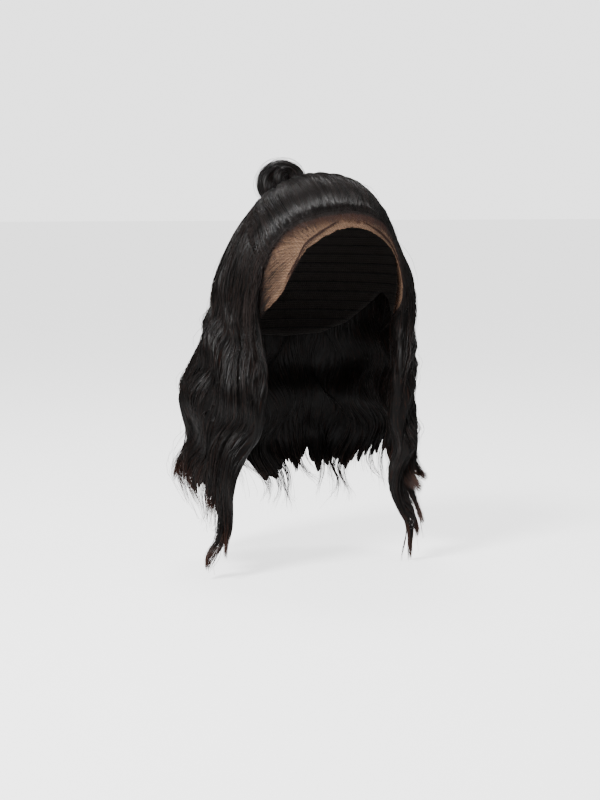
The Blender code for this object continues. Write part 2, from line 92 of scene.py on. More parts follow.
# Front edge of the lace, then lower edge of the cap, in degrees
# Columns: bearing from the face, angle from the crown
LACE_EDGE = (
    (0.0, 50.0), (15.0, 52.0), (28.0, 57.0), (40.0, 64.0), (47.0, 72.0), (52.0, 81.0),
    (56.0, 88.0), (62.0, 94.0), (70.0, 99.0), (80.0, 104.0), (84.0, 105.0),
)
CAP_EDGE = LACE_EDGE + (
    (92.0, 96.0), (100.0, 92.0), (112.0, 100.0), (130.0, 112.0), (150.0, 119.0), (180.0, 121.0),
)

# Dense hairline, then its way on in front of the ear, in degrees
# Columns: bearing from the face, angle from the crown
HAIRLINE = ((0.0, 38.0), (25.0, 40.0), (50.0, 46.0), (62.0, 53.0), (69.0, 63.0), (73.0, 76.0))
SIDE_HAIRLINE = HAIRLINE + ((76.0, 104.0),)

# Line of the laid baby hair along the lace's edge, in degrees
# Columns: bearing from the face, angle from the crown
BABY_LINE = (
    (12.0, 46.0), (18.0, 48.5), (28.0, 53.0), (33.0, 55.5), (42.0, 62.0),
    (46.0, 70.0), (50.0, 77.0), (53.5, 83.0), (59.0, 91.0), (70.0, 97.0),
)

# Bulk of the swept hair from the hairline back to the knot
# Columns: share of the way, share of the crown's thickness
SWEEP_BULK = (
    (0.0, 0.10), (0.08, 0.36), (0.20, 0.66), (0.38, 0.93), (0.62, 1.0), (0.80, 0.64), (1.0, 0.38),
)

# Bulk of the falls from root to tip
# Columns: share of the length, share of the full thickness
FALL_BULK = ((0.0, 1.0), (0.62, 1.0), (0.86, 0.62), (1.0, 0.07))

# Guides of the falls, from the wearer's right temple round the back to the left one.
# border: place along the section line, 0 and 4 at the temples, 1 to 3 round the stem
# side: bearing at SIDE_POLAR, jaw, shoulder and tip: x over the cap's half width, y over
# its half back, tip_z: share of the drop, body: share of the falls' thickness,
# crest: share of the drop at which one wave crest lies, swell: share of the length to full body
GUIDE_COLUMNS = (
    "border", "side", "jaw_x", "jaw_y", "shoulder_x", "shoulder_y",
    "tip_x", "tip_y", "tip_z", "body", "crest", "swell",
)
GUIDES = (
    (0.00, -76.0, -0.95, -0.45, -1.37, -0.45, -1.70, -0.47, 1.00, 0.55, 0.66, 0.30),
    (0.35, -90.0, -1.16, -0.08, -1.53, -0.06, -1.79, -0.12, 0.87, 0.90, 0.66, 0.40),
    (0.75, -115.0, -1.18, 0.45, -1.50, 0.57, -1.63, 0.45, 0.81, 1.00, 0.65, 0.44),
    (1.20, -148.0, -0.66, 0.94, -0.79, 1.02, -0.76, 0.94, 0.88, 0.80, 0.60, 0.40),
    (2.00, -180.0, 0.00, 1.02, 0.00, 1.08, 0.00, 1.00, 0.92, 0.80, 0.55, 0.30),
    (2.80, -212.0, 0.66, 0.94, 0.76, 0.98, 0.74, 0.92, 0.88, 0.80, 0.55, 0.28),
    (3.25, -245.0, 1.06, 0.41, 1.24, 0.41, 1.32, 0.37, 0.83, 0.76, 0.55, 0.24),
    (3.65, -270.0, 1.02, -0.04, 1.22, -0.06, 1.47, -0.18, 0.80, 0.68, 0.55, 0.18),
    (4.00, -284.0, 0.85, -0.33, 0.84, -0.24, 1.21, -0.29, 1.04, 0.54, 0.55, 0.16),
)
LAST_GUIDE = len(GUIDES) - 1.0

# Falls: CAD node, first and last guide, base columns, strands
FALL_COLUMNS = ("node", "first", "last", "columns", "strands")
FALLS = (
    ("right_fall", 0.0, 2.5, 200, 1900),
    ("back_right_fall", 2.5, 4.0, 110, 690),
    ("back_left_fall", 4.0, 5.5, 110, 690),
    ("left_fall", 5.5, 8.0, 200, 1700),
)


# Settings

def length(name, description, default):
    return FloatProperty(name=name, description=description, default=default, unit="LENGTH")


def tint(name, description, default):
    return FloatVectorProperty(name=name, description=description, default=default, subtype="COLOR")


def turn(name, description, degrees):
    default = math.radians(degrees)
    return FloatProperty(name=name, description=description, default=default, unit="ROTATION")


class CapSettings(PropertyGroup):
    half_width: length("Half width", "Half of the cap's width over the ears", 0.076)
    half_front: length("Half front", "From the head's axis to the forehead", 0.094)
    half_back: length("Half back", "From the head's axis to the back of the head", 0.098)
    crown_height: length("Crown height", "From the cap's widest level up to its crown", 0.098)
    wall: length("Cap wall", "Thickness of the stretch net", 0.0012)
    lace_wall: length("Lace wall", "Thickness of the lace", 0.0006)
    lace_colour: tint("Lace", "Colour of the lace net", (0.50, 0.30, 0.19))
    net_colour: tint("Net", "Colour of the stretch net behind the lace", (0.009, 0.007, 0.006))


class HairSettings(PropertyGroup):
    drop: length("Drop", "From the crown of the cap down to the longest tip", 0.378)
    lift: length("Lift", "Height of the hair's underside over the head form", 0.0027)
    crown_thickness: length("Crown bulk", "Thickness of the hair that is swept to the knot", 0.0145)
    fall_thickness: length("Fall bulk", "Thickness of the loose falls", 0.033)
    wave_length: length("Wave length", "Body wave from crest to crest", 0.080)
    wave_depth: length("Wave depth", "How far the body wave goes in and out", 0.0055)
    wave_sway: length("Wave sway", "How far the body wave goes from side to side", 0.0040)
    strand_width: length("Strand width", "Width of a drawn strand, a wisp of some hairs", 0.00042)
    colour: tint("Hair", "Natural black of the hair", (0.0032, 0.0026, 0.0024))
    tip_colour: tint("Tips", "Brown of the hair's thin ends", (0.066, 0.024, 0.014))


class KnotSettings(PropertyGroup):
    radius: length("Loop radius", "Radius of the knot's loop", 0.0165)
    rope: length("Loop rope", "Radius of the hair that makes the loop", 0.0092)
    coil_radius: length("Coil radius", "Radius of the turn inside the loop", 0.0075)
    coil_rope: length("Coil rope", "Radius of the hair that makes the inner turn", 0.0080)
    stem_radius: length("Stem radius", "Radius of the gathered hair under the knot", 0.011)
    tie_wire: length("Tie wire", "Radius of the elastic's own section", 0.0020)
    side_shift: length("Side shift", "How far the knot leans to the wearer's left", -0.007)


class StageSettings(PropertyGroup):
    distance: length("Camera distance", "From the camera to the middle of the view", 1.9)
    azimuth: turn("Azimuth", "Bearing of the camera from the wearer's face", -24.0)
    elevation: turn("Elevation", "Height of the camera over the middle of the view", 6.0)
    lens: FloatProperty(
        name="Lens", description="Focal length in millimetres", default=85.5, unit="CAMERA",
    )


class WigSettings(PropertyGroup):
    cap: PointerProperty(type=CapSettings)
    hair: PointerProperty(type=HairSettings)
    knot: PointerProperty(type=KnotSettings)
    stage: PointerProperty(type=StageSettings)
    seed: IntProperty(name="Seed", description="Seed of the strands' places", default=7)


# Shape of the head form

def directions(bearing, polar):
    """Unit directions from the middle of the head form; bearing 0 is the face, + the left."""
    b = np.radians(np.asarray(bearing, dtype=float))
    p = np.radians(np.asarray(polar, dtype=float))
    return np.stack((np.sin(p) * np.sin(b), -np.sin(p) * np.cos(b), np.cos(p) + 0.0 * b), axis=-1)


def unit(vectors):
    return vectors / np.linalg.norm(vectors, axis=-1, keepdims=True)


def head_sizes(cap, units):
    half_length = np.where(units[..., 1] < 0.0, cap.half_front, cap.half_back)
    width = np.full_like(half_length, cap.half_width)
    return np.stack((width, half_length, np.full_like(half_length, cap.crown_height)), axis=-1)


def head_normals(cap, units):
    return unit(units / head_sizes(cap, units))


def head_points(cap, units, lift):
    """Points over the head form in directions, lift above its surface."""
    surface = units * head_sizes(cap, units)
    surface[..., 2] -= cap.crown_height
    return surface + head_normals(cap, units) * np.asarray(lift, dtype=float)[..., None]


def slerp(start, end, share):
    """Directions between two, or beyond the first where the share is under 0."""
    share = np.asarray(share, dtype=float)[..., None]
    angle = np.arccos(np.clip(np.sum(start * end, axis=-1, keepdims=True), -1.0, 1.0))
    return (start * np.sin((1.0 - share) * angle) + end * np.sin(share * angle)) / np.sin(angle)


def table_value(table, place):
    """Second column of a two-column table, straight between its rows."""
    places, values = zip(*table)
    return np.interp(place, places, values)


def table_place(table, value):
    """First column of a two-column table, where the second one has a value."""
    places, values = zip(*table)
    return np.interp(value, values, places)


def smooth(share):
    share = np.clip(share, 0.0, 1.0)
    return share * share * (3.0 - 2.0 * share)


def ramp(value, low, high):
    """0 up to low, 1 from high on, with a smooth rise between them."""
    return smooth((value - low) / (high - low))


def catmull(rows, place):
    """Smooth value at a place along the rows of a table, through every row."""
    rows = np.asarray(rows, dtype=float)
    last = len(rows) - 1
    place = max(0.0, min(float(last), place))
    index = min(int(place), last - 1)
    t = place - index
    p1 = rows[index]
    p2 = rows[index + 1]
    p0 = rows[index - 1] if index > 0 else 2.0 * p1 - p2
    p3 = rows[index + 2] if index + 2 <= last else 2.0 * p2 - p1
    bend = 2.0 * p0 - 5.0 * p1 + 4.0 * p2 - p3
    twist = 3.0 * p1 - p0 - 3.0 * p2 + p3
    return 0.5 * (2.0 * p1 + (p2 - p0) * t + bend * t * t + twist * t ** 3)


def flowing_curve(stops, count):
    """Points on one smooth curve through unevenly spaced stops, with no overshoot between them."""
    stops = np.asarray(stops, dtype=float)
    spans = np.linalg.norm(np.diff(stops, axis=0), axis=1)
    places = np.concatenate(((0.0,), np.cumsum(spans)))
    slopes = np.diff(stops, axis=0) / spans[:, None]
    before = spans[:-1, None]
    after = spans[1:, None]
    middle = (slopes[:-1] * after + slopes[1:] * before) / (before + after)
    tangents = np.vstack((slopes[:1], middle, slopes[-1:]))
    wanted = np.linspace(0.0, places[-1], count)
    index = np.clip(np.searchsorted(places, wanted, side="right") - 1, 0, len(spans) - 1)
    t = ((wanted - places[index]) / spans[index])[:, None]
    span = spans[index][:, None]
    start = (2.0 * t ** 3 - 3.0 * t ** 2 + 1.0) * stops[index]
    leave = (t ** 3 - 2.0 * t ** 2 + t) * span * tangents[index]
    end = (3.0 * t ** 2 - 2.0 * t ** 3) * stops[index + 1]
    arrive = (t ** 3 - t ** 2) * span * tangents[index + 1]
    return start + leave + end + arrive


# Shape of the hair: fields of points over the head, which locks and strands follow

STEM_GAP = 0.0023
ROOT_GAP = 0.0006
QUARTER = 90.0
WAVE_START = 0.38
WAVE_FULL = 0.56
PATH_SAMPLES = 97
FIELD_PLACES = 161
FIELD_WAYS = 141
CROWN_PLACES = 121
CROWN_WAYS = 81
CROWN_LAP = 1.045
CROWN_EDGE = 0.09


def stem_directions(cap, knot, angle):
    """Directions on the ring that the hair leaves open round the stem; angle 0 is its front."""
    angle = np.radians(np.asarray(angle, dtype=float))[..., None]
    polar = math.radians(GATHER_POLAR)
    gather = directions(GATHER_BEARING, GATHER_POLAR)
    opening = knot.stem_radius + STEM_GAP
    to_front = np.array((0.0, -math.cos(polar), math.sin(polar))) * (opening / cap.crown_height)
    to_left = np.array((1.0, 0.0, 0.0)) * (opening / cap.half_width)
    return unit(gather + np.cos(angle) * to_front + np.sin(angle) * to_left)


def border_direction(cap, knot, place):
    """Section line: right temple (0), right of the stem (1), behind (2), left (3), left temple (4)."""
    if place < 1.0:
        temple = directions(-TEMPLE_BEARING, TEMPLE_POLAR)
        return slerp(temple, stem_directions(cap, knot, -QUARTER), place)
    if place <= BORDER_END - 1.0:
        return stem_directions(cap, knot, -QUARTER * place)
    temple = directions(TEMPLE_BEARING, TEMPLE_POLAR)
    return slerp(stem_directions(cap, knot, QUARTER), temple, place - BORDER_END + 1.0)


def drop_level(wig, share):
    """Height at a share of the drop from the cap's widest level to the longest tip."""
    return -wig.cap.crown_height - share * (wig.hair.drop - wig.cap.crown_height)


def fall_path(wig, row, ways):
    """Points under the hair along one guide, at shares of its length from root to tip."""
    cap = wig.cap
    root = border_direction(cap, wig.knot, row["border"])
    side = directions(row["side"], SIDE_POLAR)
    stops = list(head_points(cap, slerp(root, side, np.linspace(0.0, 1.0, HEAD_STOPS)), wig.hair.lift))
    for level, stop in ((JAW_LEVEL, "jaw"), (SHOULDER_LEVEL, "shoulder"), (row["tip_z"], "tip")):
        height = drop_level(wig, level)
        stops.append((row[stop + "_x"] * cap.half_width, row[stop + "_y"] * cap.half_back, height))
    fine = flowing_curve(stops, PATH_SAMPLES)
    lengths = np.concatenate(((0.0,), np.cumsum(np.linalg.norm(np.diff(fine, axis=0), axis=1))))
    first = ROOT_GAP / lengths[-1]
    wanted = (first + (1.0 - first) * ways) * lengths[-1]
    return np.stack([np.interp(wanted, lengths, fine[:, axis]) for axis in range(3)], axis=1)


def sampled(values, across, way):
    """Values of a field between its points; across and way go from 0 to 1."""
    columns, rows = values.shape[:2]
    x = np.clip(across, 0.0, 1.0) * (columns - 1)
    y = np.clip(way, 0.0, 1.0) * (rows - 1)
    i = np.minimum(x.astype(int), columns - 2)
    j = np.minimum(y.astype(int), rows - 2)
    fx = x - i
    fy = y - j
    if values.ndim == 3:
        fx = fx[..., None]
        fy = fy[..., None]
    near = values[i, j] * (1.0 - fx) + values[i + 1, j] * fx
    far = values[i, j + 1] * (1.0 - fx) + values[i + 1, j + 1] * fx
    return near * (1.0 - fy) + far * fy


class HairField:
    """Underside, outward and sideways directions and bulk of a mass of hair."""

    def __init__(self, first, last, under, outward, across, bulk):
        self.first = first
        self.last = last
        self.under = under
        self.outward = outward
        self.across = across
        self.bulk = bulk
        steps = np.linalg.norm(np.diff(under, axis=1), axis=2)
        self.length = float(np.mean(np.sum(steps, axis=1)))

    def points(self, place, way, share, lift, drift=0.0):
        """Points at shares of the bulk, then lifted outward and moved sideways, in metres."""
        u = (place - self.first) / (self.last - self.first)
        under = sampled(self.under, u, way)
        outward = unit(sampled(self.outward, u, way))
        across = unit(sampled(self.across, u, way))
        rise = (sampled(self.bulk, u, way) * share + lift)[..., None]
        return under + outward * rise + across * np.asarray(drift, dtype=float)[..., None]


def fall_field(wig):
    hair = wig.hair
    places = np.linspace(0.0, LAST_GUIDE, FIELD_PLACES)
    ways = np.linspace(0.0, 1.0, FIELD_WAYS)
    rows = [dict(zip(GUIDE_COLUMNS, catmull(GUIDES, place))) for place in places]
    path = np.stack([fall_path(wig, row, ways) for row in rows])
    across = unit(np.gradient(path, axis=0))
    outward = unit(np.cross(across, np.gradient(path, axis=1)))
    column = {name: np.array([row[name] for row in rows])[:, None] for name in GUIDE_COLUMNS}
    strength = ramp(ways, WAVE_START, WAVE_FULL)
    phase = FULL_TURN * (path[..., 2] - drop_level(wig, column["crest"])) / hair.wave_length
    wave = (hair.wave_depth * strength * np.cos(phase))[..., None]
    sway = (hair.wave_sway * strength * np.sin(phase))[..., None]
    border = np.minimum(np.minimum(column["border"], BORDER_END - column["border"]), 1.0)
    root_bulk = hair.crown_thickness * table_value(SWEEP_BULK, border)
    full = hair.fall_thickness * column["body"]
    swell = smooth(ways / column["swell"])
    bulk = (root_bulk + (full - root_bulk) * swell) * table_value(FALL_BULK, ways)
    under = path + outward * wave + across * sway
    return HairField(0.0, LAST_GUIDE, under, outward, across, bulk)


def crown_field(wig):
    """The swept hair, place -1 to 1 between the temples."""
    places = np.linspace(-CROWN_LAP, CROWN_LAP, CROWN_PLACES)[:, None]
    ways = np.linspace(0.0, 1.0, CROWN_WAYS)
    bearing = places * TEMPLE_BEARING
    start = directions(bearing, table_value(HAIRLINE, np.abs(bearing)))
    units = slerp(start, stem_directions(wig.cap, wig.knot, places * QUARTER), ways)
    under = head_points(wig.cap, units, wig.hair.lift)
    bulk = wig.hair.crown_thickness * table_value(SWEEP_BULK, ways)
    bulk = np.broadcast_to(bulk, units.shape[:2])
    across = unit(np.gradient(under, axis=0))
    return HairField(-CROWN_LAP, CROWN_LAP, under, head_normals(wig.cap, units), across, bulk)


# Locks, waves and grooves of the hair's outer face

# Lengths of the loose hair over one lock, of one lock after another, and of the hair between
LOCKS_PER_GUIDE = 2.0
LOCK_LENGTHS = (0.85, 0.95, 1.00, 0.95)
LOCK_TIPS = (1.00, 0.94, 0.98, 0.92, 0.97)
FILLED_LENGTH = 0.925

# Sums of waves across the guides
# Columns: size, turn for one guide, start
FILLED_WAVES = ((0.022, 5.1, 0.4), (0.018, 11.3, 2.0))
LOCK_PHASES = ((2.6, 1.9, 0.0), (1.7, 4.3, 1.0))

# Sideways strays of the locks
# Columns: size, turns along the way, turns for one unit of place
BROAD_STRAY = (0.16, 1.05, 0.31)
FINE_STRAY = (0.035, 2.9, 0.83)
CROWN_STRAY = (0.022, 1.3, 2.1)
FINE_STRAY_FULL = 0.3

# Wave of the locks themselves: turns from root to tip, where it starts and is full, its depths
LOCK_WAVES = 4.6
LOCK_WAVE_START = 0.12
LOCK_WAVE_FULL = 0.42
LOCK_WAVE_OUT = 0.0038
LOCK_WAVE_ASIDE = 0.0044

# Woven ridges of the outer face
# Columns: ridges for one unit of place, weave, its turns along and across, sharpness, height
FALL_WISPS = (7.7, 0.45, 7.0, 3.0, 0.75, 0.0034)
FALL_GRAIN = (24.0, 0.9, 9.0, 5.0, 0.9, 0.0012)
INNER_GRAIN = (24.0, 0.9, 9.0, 5.0, 0.9, 0.0014)
CROWN_WISPS = (12.0, 0.25, 3.0, 9.0, 0.75, 0.0012)
CROWN_GRAIN = (31.0, 0.4, 3.5, 17.0, 0.9, 0.0006)
FALL_SINK = 0.0044
ROOT_SINK = 0.3
CROWN_SINK = 0.0012

# Grooves between the locks: depth as a share of the bulk, sharpness, where they are full
FALL_GROOVE = 0.26
FALL_GROOVE_SHARPNESS = 0.55
FALL_GROOVE_FULL = 0.25
CROWN_LOCKS = 4.5
CROWN_GROOVE = 0.16
CROWN_GROOVE_SHARPNESS = 0.6
CROWN_GROOVE_FULL = 0.14
CROWN_SETTLE = 0.75
CROWN_SETTLED = 0.6

# Bulk of the swept hair at its very root, and where it is whole
CROWN_ROOT_BULK = 0.2
CROWN_ROOT_START = -0.01
CROWN_ROOT_END = 0.11


def waves(table, place):
    return sum(size * np.sin(turns * place + start) for size, turns, start in table)


def stray(row, place, way):
    size, along, across = row
    return size * np.sin(FULL_TURN * (along * way + across * place))


def ridges(phase, sharpness):
    """Rounded ridges, 1 on each crest and 0 in each groove, one for each unit of phase."""
    return np.abs(np.sin(np.pi * phase)) ** sharpness


def woven_ridges(row, strayed, place, way):
    count, weave, along, across, sharpness, height = row
    return height * ridges(strayed * count + weave * np.sin(along * way + across * place), sharpness)


def lock_length(place):
    """Share of the guide's length that the hair reaches at a place, lock by lock."""
    phase = np.asarray(place, dtype=float) * LOCKS_PER_GUIDE
    lock = np.floor(phase).astype(int)
    tips = np.array(LOCK_TIPS)[lock % len(LOCK_TIPS)]
    stops = np.linspace(0.0, 1.0, len(LOCK_LENGTHS) + 1)
    return np.interp(phase - lock, stops, LOCK_LENGTHS + LOCK_LENGTHS[:1]) * tips


def hair_reach(place):
    """Share of a guide's length that the loose hair reaches: its locks, with fuller hair between."""
    return np.maximum(lock_length(place), FILLED_LENGTH + waves(FILLED_WAVES, place))


def fall_wander(place, way):
    """How far the locks of a fall stray sideways on their way down, in guides."""
    fine = stray(FINE_STRAY, place, way) * smooth(way / FINE_STRAY_FULL)
    return stray(BROAD_STRAY, place, way) * way + fine


def crown_wander(place, way):
    return stray(CROWN_STRAY, place, way) * np.sin(np.pi * way)


def lock_wave(place, way):
    """Wave that each lock adds to the body wave: outward and sideways, in metres."""
    turns = FULL_TURN * LOCK_WAVES * way + waves(LOCK_PHASES, place - fall_wander(place, way))
    swell = ramp(way, LOCK_WAVE_START, LOCK_WAVE_FULL)
    return LOCK_WAVE_OUT * swell * np.sin(turns), LOCK_WAVE_ASIDE * swell * np.cos(turns)


def fall_relief(place, way):
    """Share of the bulk and added lift in metres of the falls' outer face."""
    strayed = place - fall_wander(place, way)
    swell = smooth(way / FALL_GROOVE_FULL)
    locks = ridges(strayed * LOCKS_PER_GUIDE, FALL_GROOVE_SHARPNESS)
    lift = swell * woven_ridges(FALL_WISPS, strayed, place, way)
    lift = lift + woven_ridges(FALL_GRAIN, strayed, place, way)
    lift = lift - FALL_SINK * (ROOT_SINK + (1.0 - ROOT_SINK) * swell)
    return 1.0 - FALL_GROOVE * swell * (1.0 - locks), lift + lock_wave(place, way)[0]


def crown_relief(place, way):
    """Share of the bulk and added lift in metres of the swept hair's outer face."""
    strayed = place - crown_wander(place, way)
    swell = smooth(way / CROWN_GROOVE_FULL) * (1.0 - CROWN_SETTLED * ramp(way, CROWN_SETTLE, 1.0))
    inset = np.clip((CROWN_LAP - np.abs(place)) / CROWN_EDGE, 0.0, 1.0)
    rounded = np.sqrt(1.0 - (1.0 - inset) ** 2)
    locks = ridges(strayed * CROWN_LOCKS + 0.5, CROWN_GROOVE_SHARPNESS)
    at_root = CROWN_ROOT_BULK + (1.0 - CROWN_ROOT_BULK) * ramp(way, CROWN_ROOT_START, CROWN_ROOT_END)
    share = (1.0 - CROWN_GROOVE * swell * (1.0 - locks)) * at_root * rounded
    fine = woven_ridges(CROWN_WISPS, strayed, place, way) + woven_ridges(CROWN_GRAIN, strayed, place, way)
    return share, (fine - CROWN_SINK) * swell * rounded


# Meshes from arrays: closed hair sheets, and strands as thin closed tubes

TUBE_SIDES = 3
TUBE_AXIS = (0.81, 0.57, 0.13)
ROOT_TAPER = 6.0
TIP_TAPER = 0.35

# Strands of each kind
# Columns: width at the root and at the tip as shares, darkest and lightest tone
STRAND_ENDS = {
    "swept_strands": (0.5, 0.4, 0.0, 1.0),
    "fall_strands": (0.5, 0.22, 0.0, 1.0),
    "curled_ends": (0.5, 0.2, 0.0, 1.0),
    "knot_strands": (0.5, 0.4, 0.0, 1.0),
    "hairline_roots": (0.8, 0.6, 0.0, 0.9),
    "temple_roots": (0.8, 0.3, 0.0, 0.9),
    "section_strands": (0.5, 0.4, 0.0, 1.0),
    "baby_hair": (0.3, 0.2, 0.2, 1.0),
    "temple_wisps": (0.6, 0.3, 0.2, 1.0),
    "flyaway_hair": (0.8, 0.4, 0.2, 1.0),
}


def mesh_object(name, vertices, quads, caps=None):
    """A mesh from arrays of places, four-sided faces and three-sided ones."""
    mesh = bpy.data.meshes.new(name)
    caps = np.zeros((0, 3), dtype=np.int32) if caps is None else caps
    loops = np.concatenate((quads.ravel(), caps.ravel())).astype(np.int32)
    starts = np.concatenate((np.arange(len(quads)) * 4, len(quads) * 4 + np.arange(len(caps)) * 3))
    mesh.vertices.add(len(vertices))
    mesh.vertices.foreach_set("co", np.ascontiguousarray(vertices, dtype=np.float32).ravel())
    mesh.loops.add(len(loops))
    mesh.loops.foreach_set("vertex_index", loops)
    mesh.polygons.add(len(starts))
    mesh.polygons.foreach_set("loop_start", starts.astype(np.int32))
    mesh.update(calc_edges=True)
    mesh.shade_smooth()
    piece = bpy.data.objects.new(name, mesh)
    bpy.context.scene.collection.objects.link(piece)
    return piece


def set_attribute(piece, name, values):
    """A value for each point of the piece, which its material reads."""
    kind = "FLOAT_VECTOR" if values.ndim == 2 else "FLOAT"
    field = "vector" if values.ndim == 2 else "value"
    attribute = piece.data.attributes.new(name, kind, "POINT")
    attribute.data.foreach_set(field, np.ascontiguousarray(values, dtype=np.float32).ravel())


def hair_sheet(name, outer, inner, flow, along):
    """A closed sheet between an outer and an inner grid of points (columns, rows, 3)."""
    columns, rows = outer.shape[:2]
    count = columns * rows
    index = np.arange(count).reshape(columns, rows)
    a, b = index[:-1, :-1], index[1:, :-1]
    c, d = index[1:, 1:], index[:-1, 1:]
    over = np.stack((a, d, c, b), axis=-1).reshape(-1, 4)
    under = np.stack((a, b, c, d), axis=-1).reshape(-1, 4) + count
    rim = np.concatenate((index[:, 0], index[-1, 1:], index[-2::-1, -1], index[0, -2:0:-1]))
    after = np.roll(rim, -1)
    wall = np.stack((rim, after, after + count, rim + count), axis=-1)
    vertices = np.concatenate((outer.reshape(-1, 3), inner.reshape(-1, 3)))
    piece = mesh_object(name, vertices, np.concatenate((over, under, wall)))
    set_attribute(piece, "flow", np.concatenate((flow.reshape(-1, 3), flow.reshape(-1, 3))))
    set_attribute(piece, "along", np.concatenate((along.ravel(), along.ravel())))
    return piece


def strand_tubes(name, paths, width, along, random, kind=None):
    """Thin closed tubes that taper along many paths (strands, stops, 3), as one piece."""
    root, tip, dark, light = STRAND_ENDS[kind or name]
    count, stops = paths.shape[:2]
    way = np.linspace(0.0, 1.0, stops)
    shape = np.minimum(1.0, root + ROOT_TAPER * way) * (tip + (1.0 - tip) * smooth((1.0 - way) / TIP_TAPER))
    radii = 0.5 * width * shape * np.ones((count, 1))
    tangents = unit(np.gradient(paths, axis=1))
    side = unit(np.cross(tangents, np.array(TUBE_AXIS)))
    other = np.cross(tangents, side)
    angles = np.arange(TUBE_SIDES) * (FULL_TURN / TUBE_SIDES)
    ring = np.cos(angles)[:, None] * side[:, :, None] + np.sin(angles)[:, None] * other[:, :, None]
    vertices = paths[:, :, None] + ring * radii[:, :, None, None]
    start = np.arange(count)[:, None, None] * (stops * TUBE_SIDES)
    stop = np.arange(stops - 1)[None, :, None] * TUBE_SIDES
    corner = np.arange(TUBE_SIDES)[None, None, :]
    a = start + stop + corner
    b = start + stop + (corner + 1) % TUBE_SIDES
    quads = np.stack((a, b, b + TUBE_SIDES, a + TUBE_SIDES), axis=-1).reshape(-1, 4)
    first = start[:, :, 0]
    caps = np.concatenate((first + (2, 1, 0), first + (stops - 1) * TUBE_SIDES + (0, 1, 2)))
    piece = mesh_object(name, vertices.reshape(-1, 3), quads, caps)
    set_attribute(piece, "along", np.repeat(np.broadcast_to(along, (count, stops)).ravel(), TUBE_SIDES))
    set_attribute(piece, "tone", np.repeat(random.uniform(dark, light, count), stops * TUBE_SIDES))
    return piece


class Draws:
    """Random values for a number of strands, as a column, in the order in which they are drawn."""

    def __init__(self, random, count):
        self.random = random
        self.count = count

    def even(self, low, high):
        return self.random.uniform(low, high, (self.count, 1))

    def bell(self, size):
        return self.random.normal(0.0, size, (self.count, 1))

    def spread(self, low, high):
        """Places spread over a range, each a little off its even place."""
        steps = np.arange(self.count) + self.random.uniform(0.0, 1.0, self.count)
        return (low + (high - low) * steps / self.count)[:, None]

    def sides(self):
        """-1 for the wearer's right and 1 for the left, turn about."""
        return np.where(np.arange(self.count) % 2 == 0, -1.0, 1.0)[:, None]


def stops_along(count):
    return np.linspace(0.0, 1.0, count)[None, :]


# Materials: one group for the grain of hair, one for its colour, one for the net

GRAIN_STRANDS = 1300.0
GRAIN_STRETCH = (1.0, 0.03, 1.0)
MASS_SHINE = 0.16
STRAND_SHINE = 0.44
MASS_ROUGHNESS = (0.36, 0.50)

# Kinds of strands
# Columns: roughness, share of the tips' brown
STRAND_LOOKS = {"hair_strand": (0.34, 0.0), "fine_hair": (0.54, 0.10), "baby_strand": (0.62, 0.55)}

# Hexagon cells, for cells one unit wide: the cell's period, its half and its slanted side
HEXAGON_PERIOD = (1.0, math.sqrt(3.0), 1.0)
HEXAGON_HALF = (0.5, 0.5 * math.sqrt(3.0), 0.0)
HEXAGON_START = (900.0, 900.0, 0.0)
LACE_MESH = (0.00150, 0.12)
CAP_MESH = (0.0022, 0.22)
KNOT_DOTS = 620.0
ROOT_BROWN = (0.060, 0.024, 0.014)
WEFT_COLOUR = (0.005, 0.004, 0.004)
WEFT_PITCH = 0.0085
STITCH_PITCH = 0.0024
ELASTIC_DARK = (0.006, 0.006, 0.006)
ELASTIC_LIGHT = (0.02, 0.02, 0.02)


class Nodes:
    """Adds nodes to a tree and links them."""

    def __init__(self, tree):
        self.tree = tree

    def feed(self, node, values):
        """Links or sets inputs of a node."""
        for socket, value in values.items():
            if isinstance(value, bpy.types.NodeSocket):
                self.tree.links.new(value, node.inputs[socket])
            else:
                node.inputs[socket].default_value = value
        return node

    def add(self, kind, values=None, **settings):
        node = self.tree.nodes.new(kind)
        for name, value in settings.items():
            setattr(node, name, value)
        return self.feed(node, values or {})

    def group(self, name, make, values):
        """A shared group, made once."""
        group = bpy.data.node_groups.get(name) or make()
        return self.add("ShaderNodeGroup", values, node_tree=group)

    def attribute(self, name, output="Fac"):
        return self.add("ShaderNodeAttribute", attribute_name=name).outputs[output]

    def math(self, operation, first, second=None):
        values = {0: first} if second is None else {0: first, 1: second}
        return self.add("ShaderNodeMath", values, operation=operation).outputs[0]

    def vector(self, operation, first, second=None):
        values = {0: first} if second is None else {0: first, 1: second}
        node = self.add("ShaderNodeVectorMath", values, operation=operation)
        return node.outputs["Value" if operation == "DOT_PRODUCT" else "Vector"]

    def noise(self, vector, scale, detail=2.0, roughness=0.5):
        values = {"Vector": vector, "Scale": scale, "Detail": detail, "Roughness": roughness}
        return self.add("ShaderNodeTexNoise", values).outputs["Fac"]

    def mix(self, share, first, second):
        values = {0: share, 6: first, 7: second}
        return self.add("ShaderNodeMix", values, data_type="RGBA", blend_type="MIX").outputs[2]

    def between(self, value, low, high):
        """0 where the value is at low, 1 at high."""
        values = {"Value": value, "From Min": low, "From Max": high}
        node = self.add("ShaderNodeMapRange", values, interpolation_type="SMOOTHSTEP")
        return node.outputs["Result"]

    def spread(self, value, low, high):
        values = {"Value": value, "To Min": low, "To Max": high}
        return self.add("ShaderNodeMapRange", values).outputs["Result"]

    def bump(self, height, distance, strength=1.0):
        values = {"Height": height, "Distance": distance, "Strength": strength}
        return self.add("ShaderNodeBump", values).outputs["Normal"]


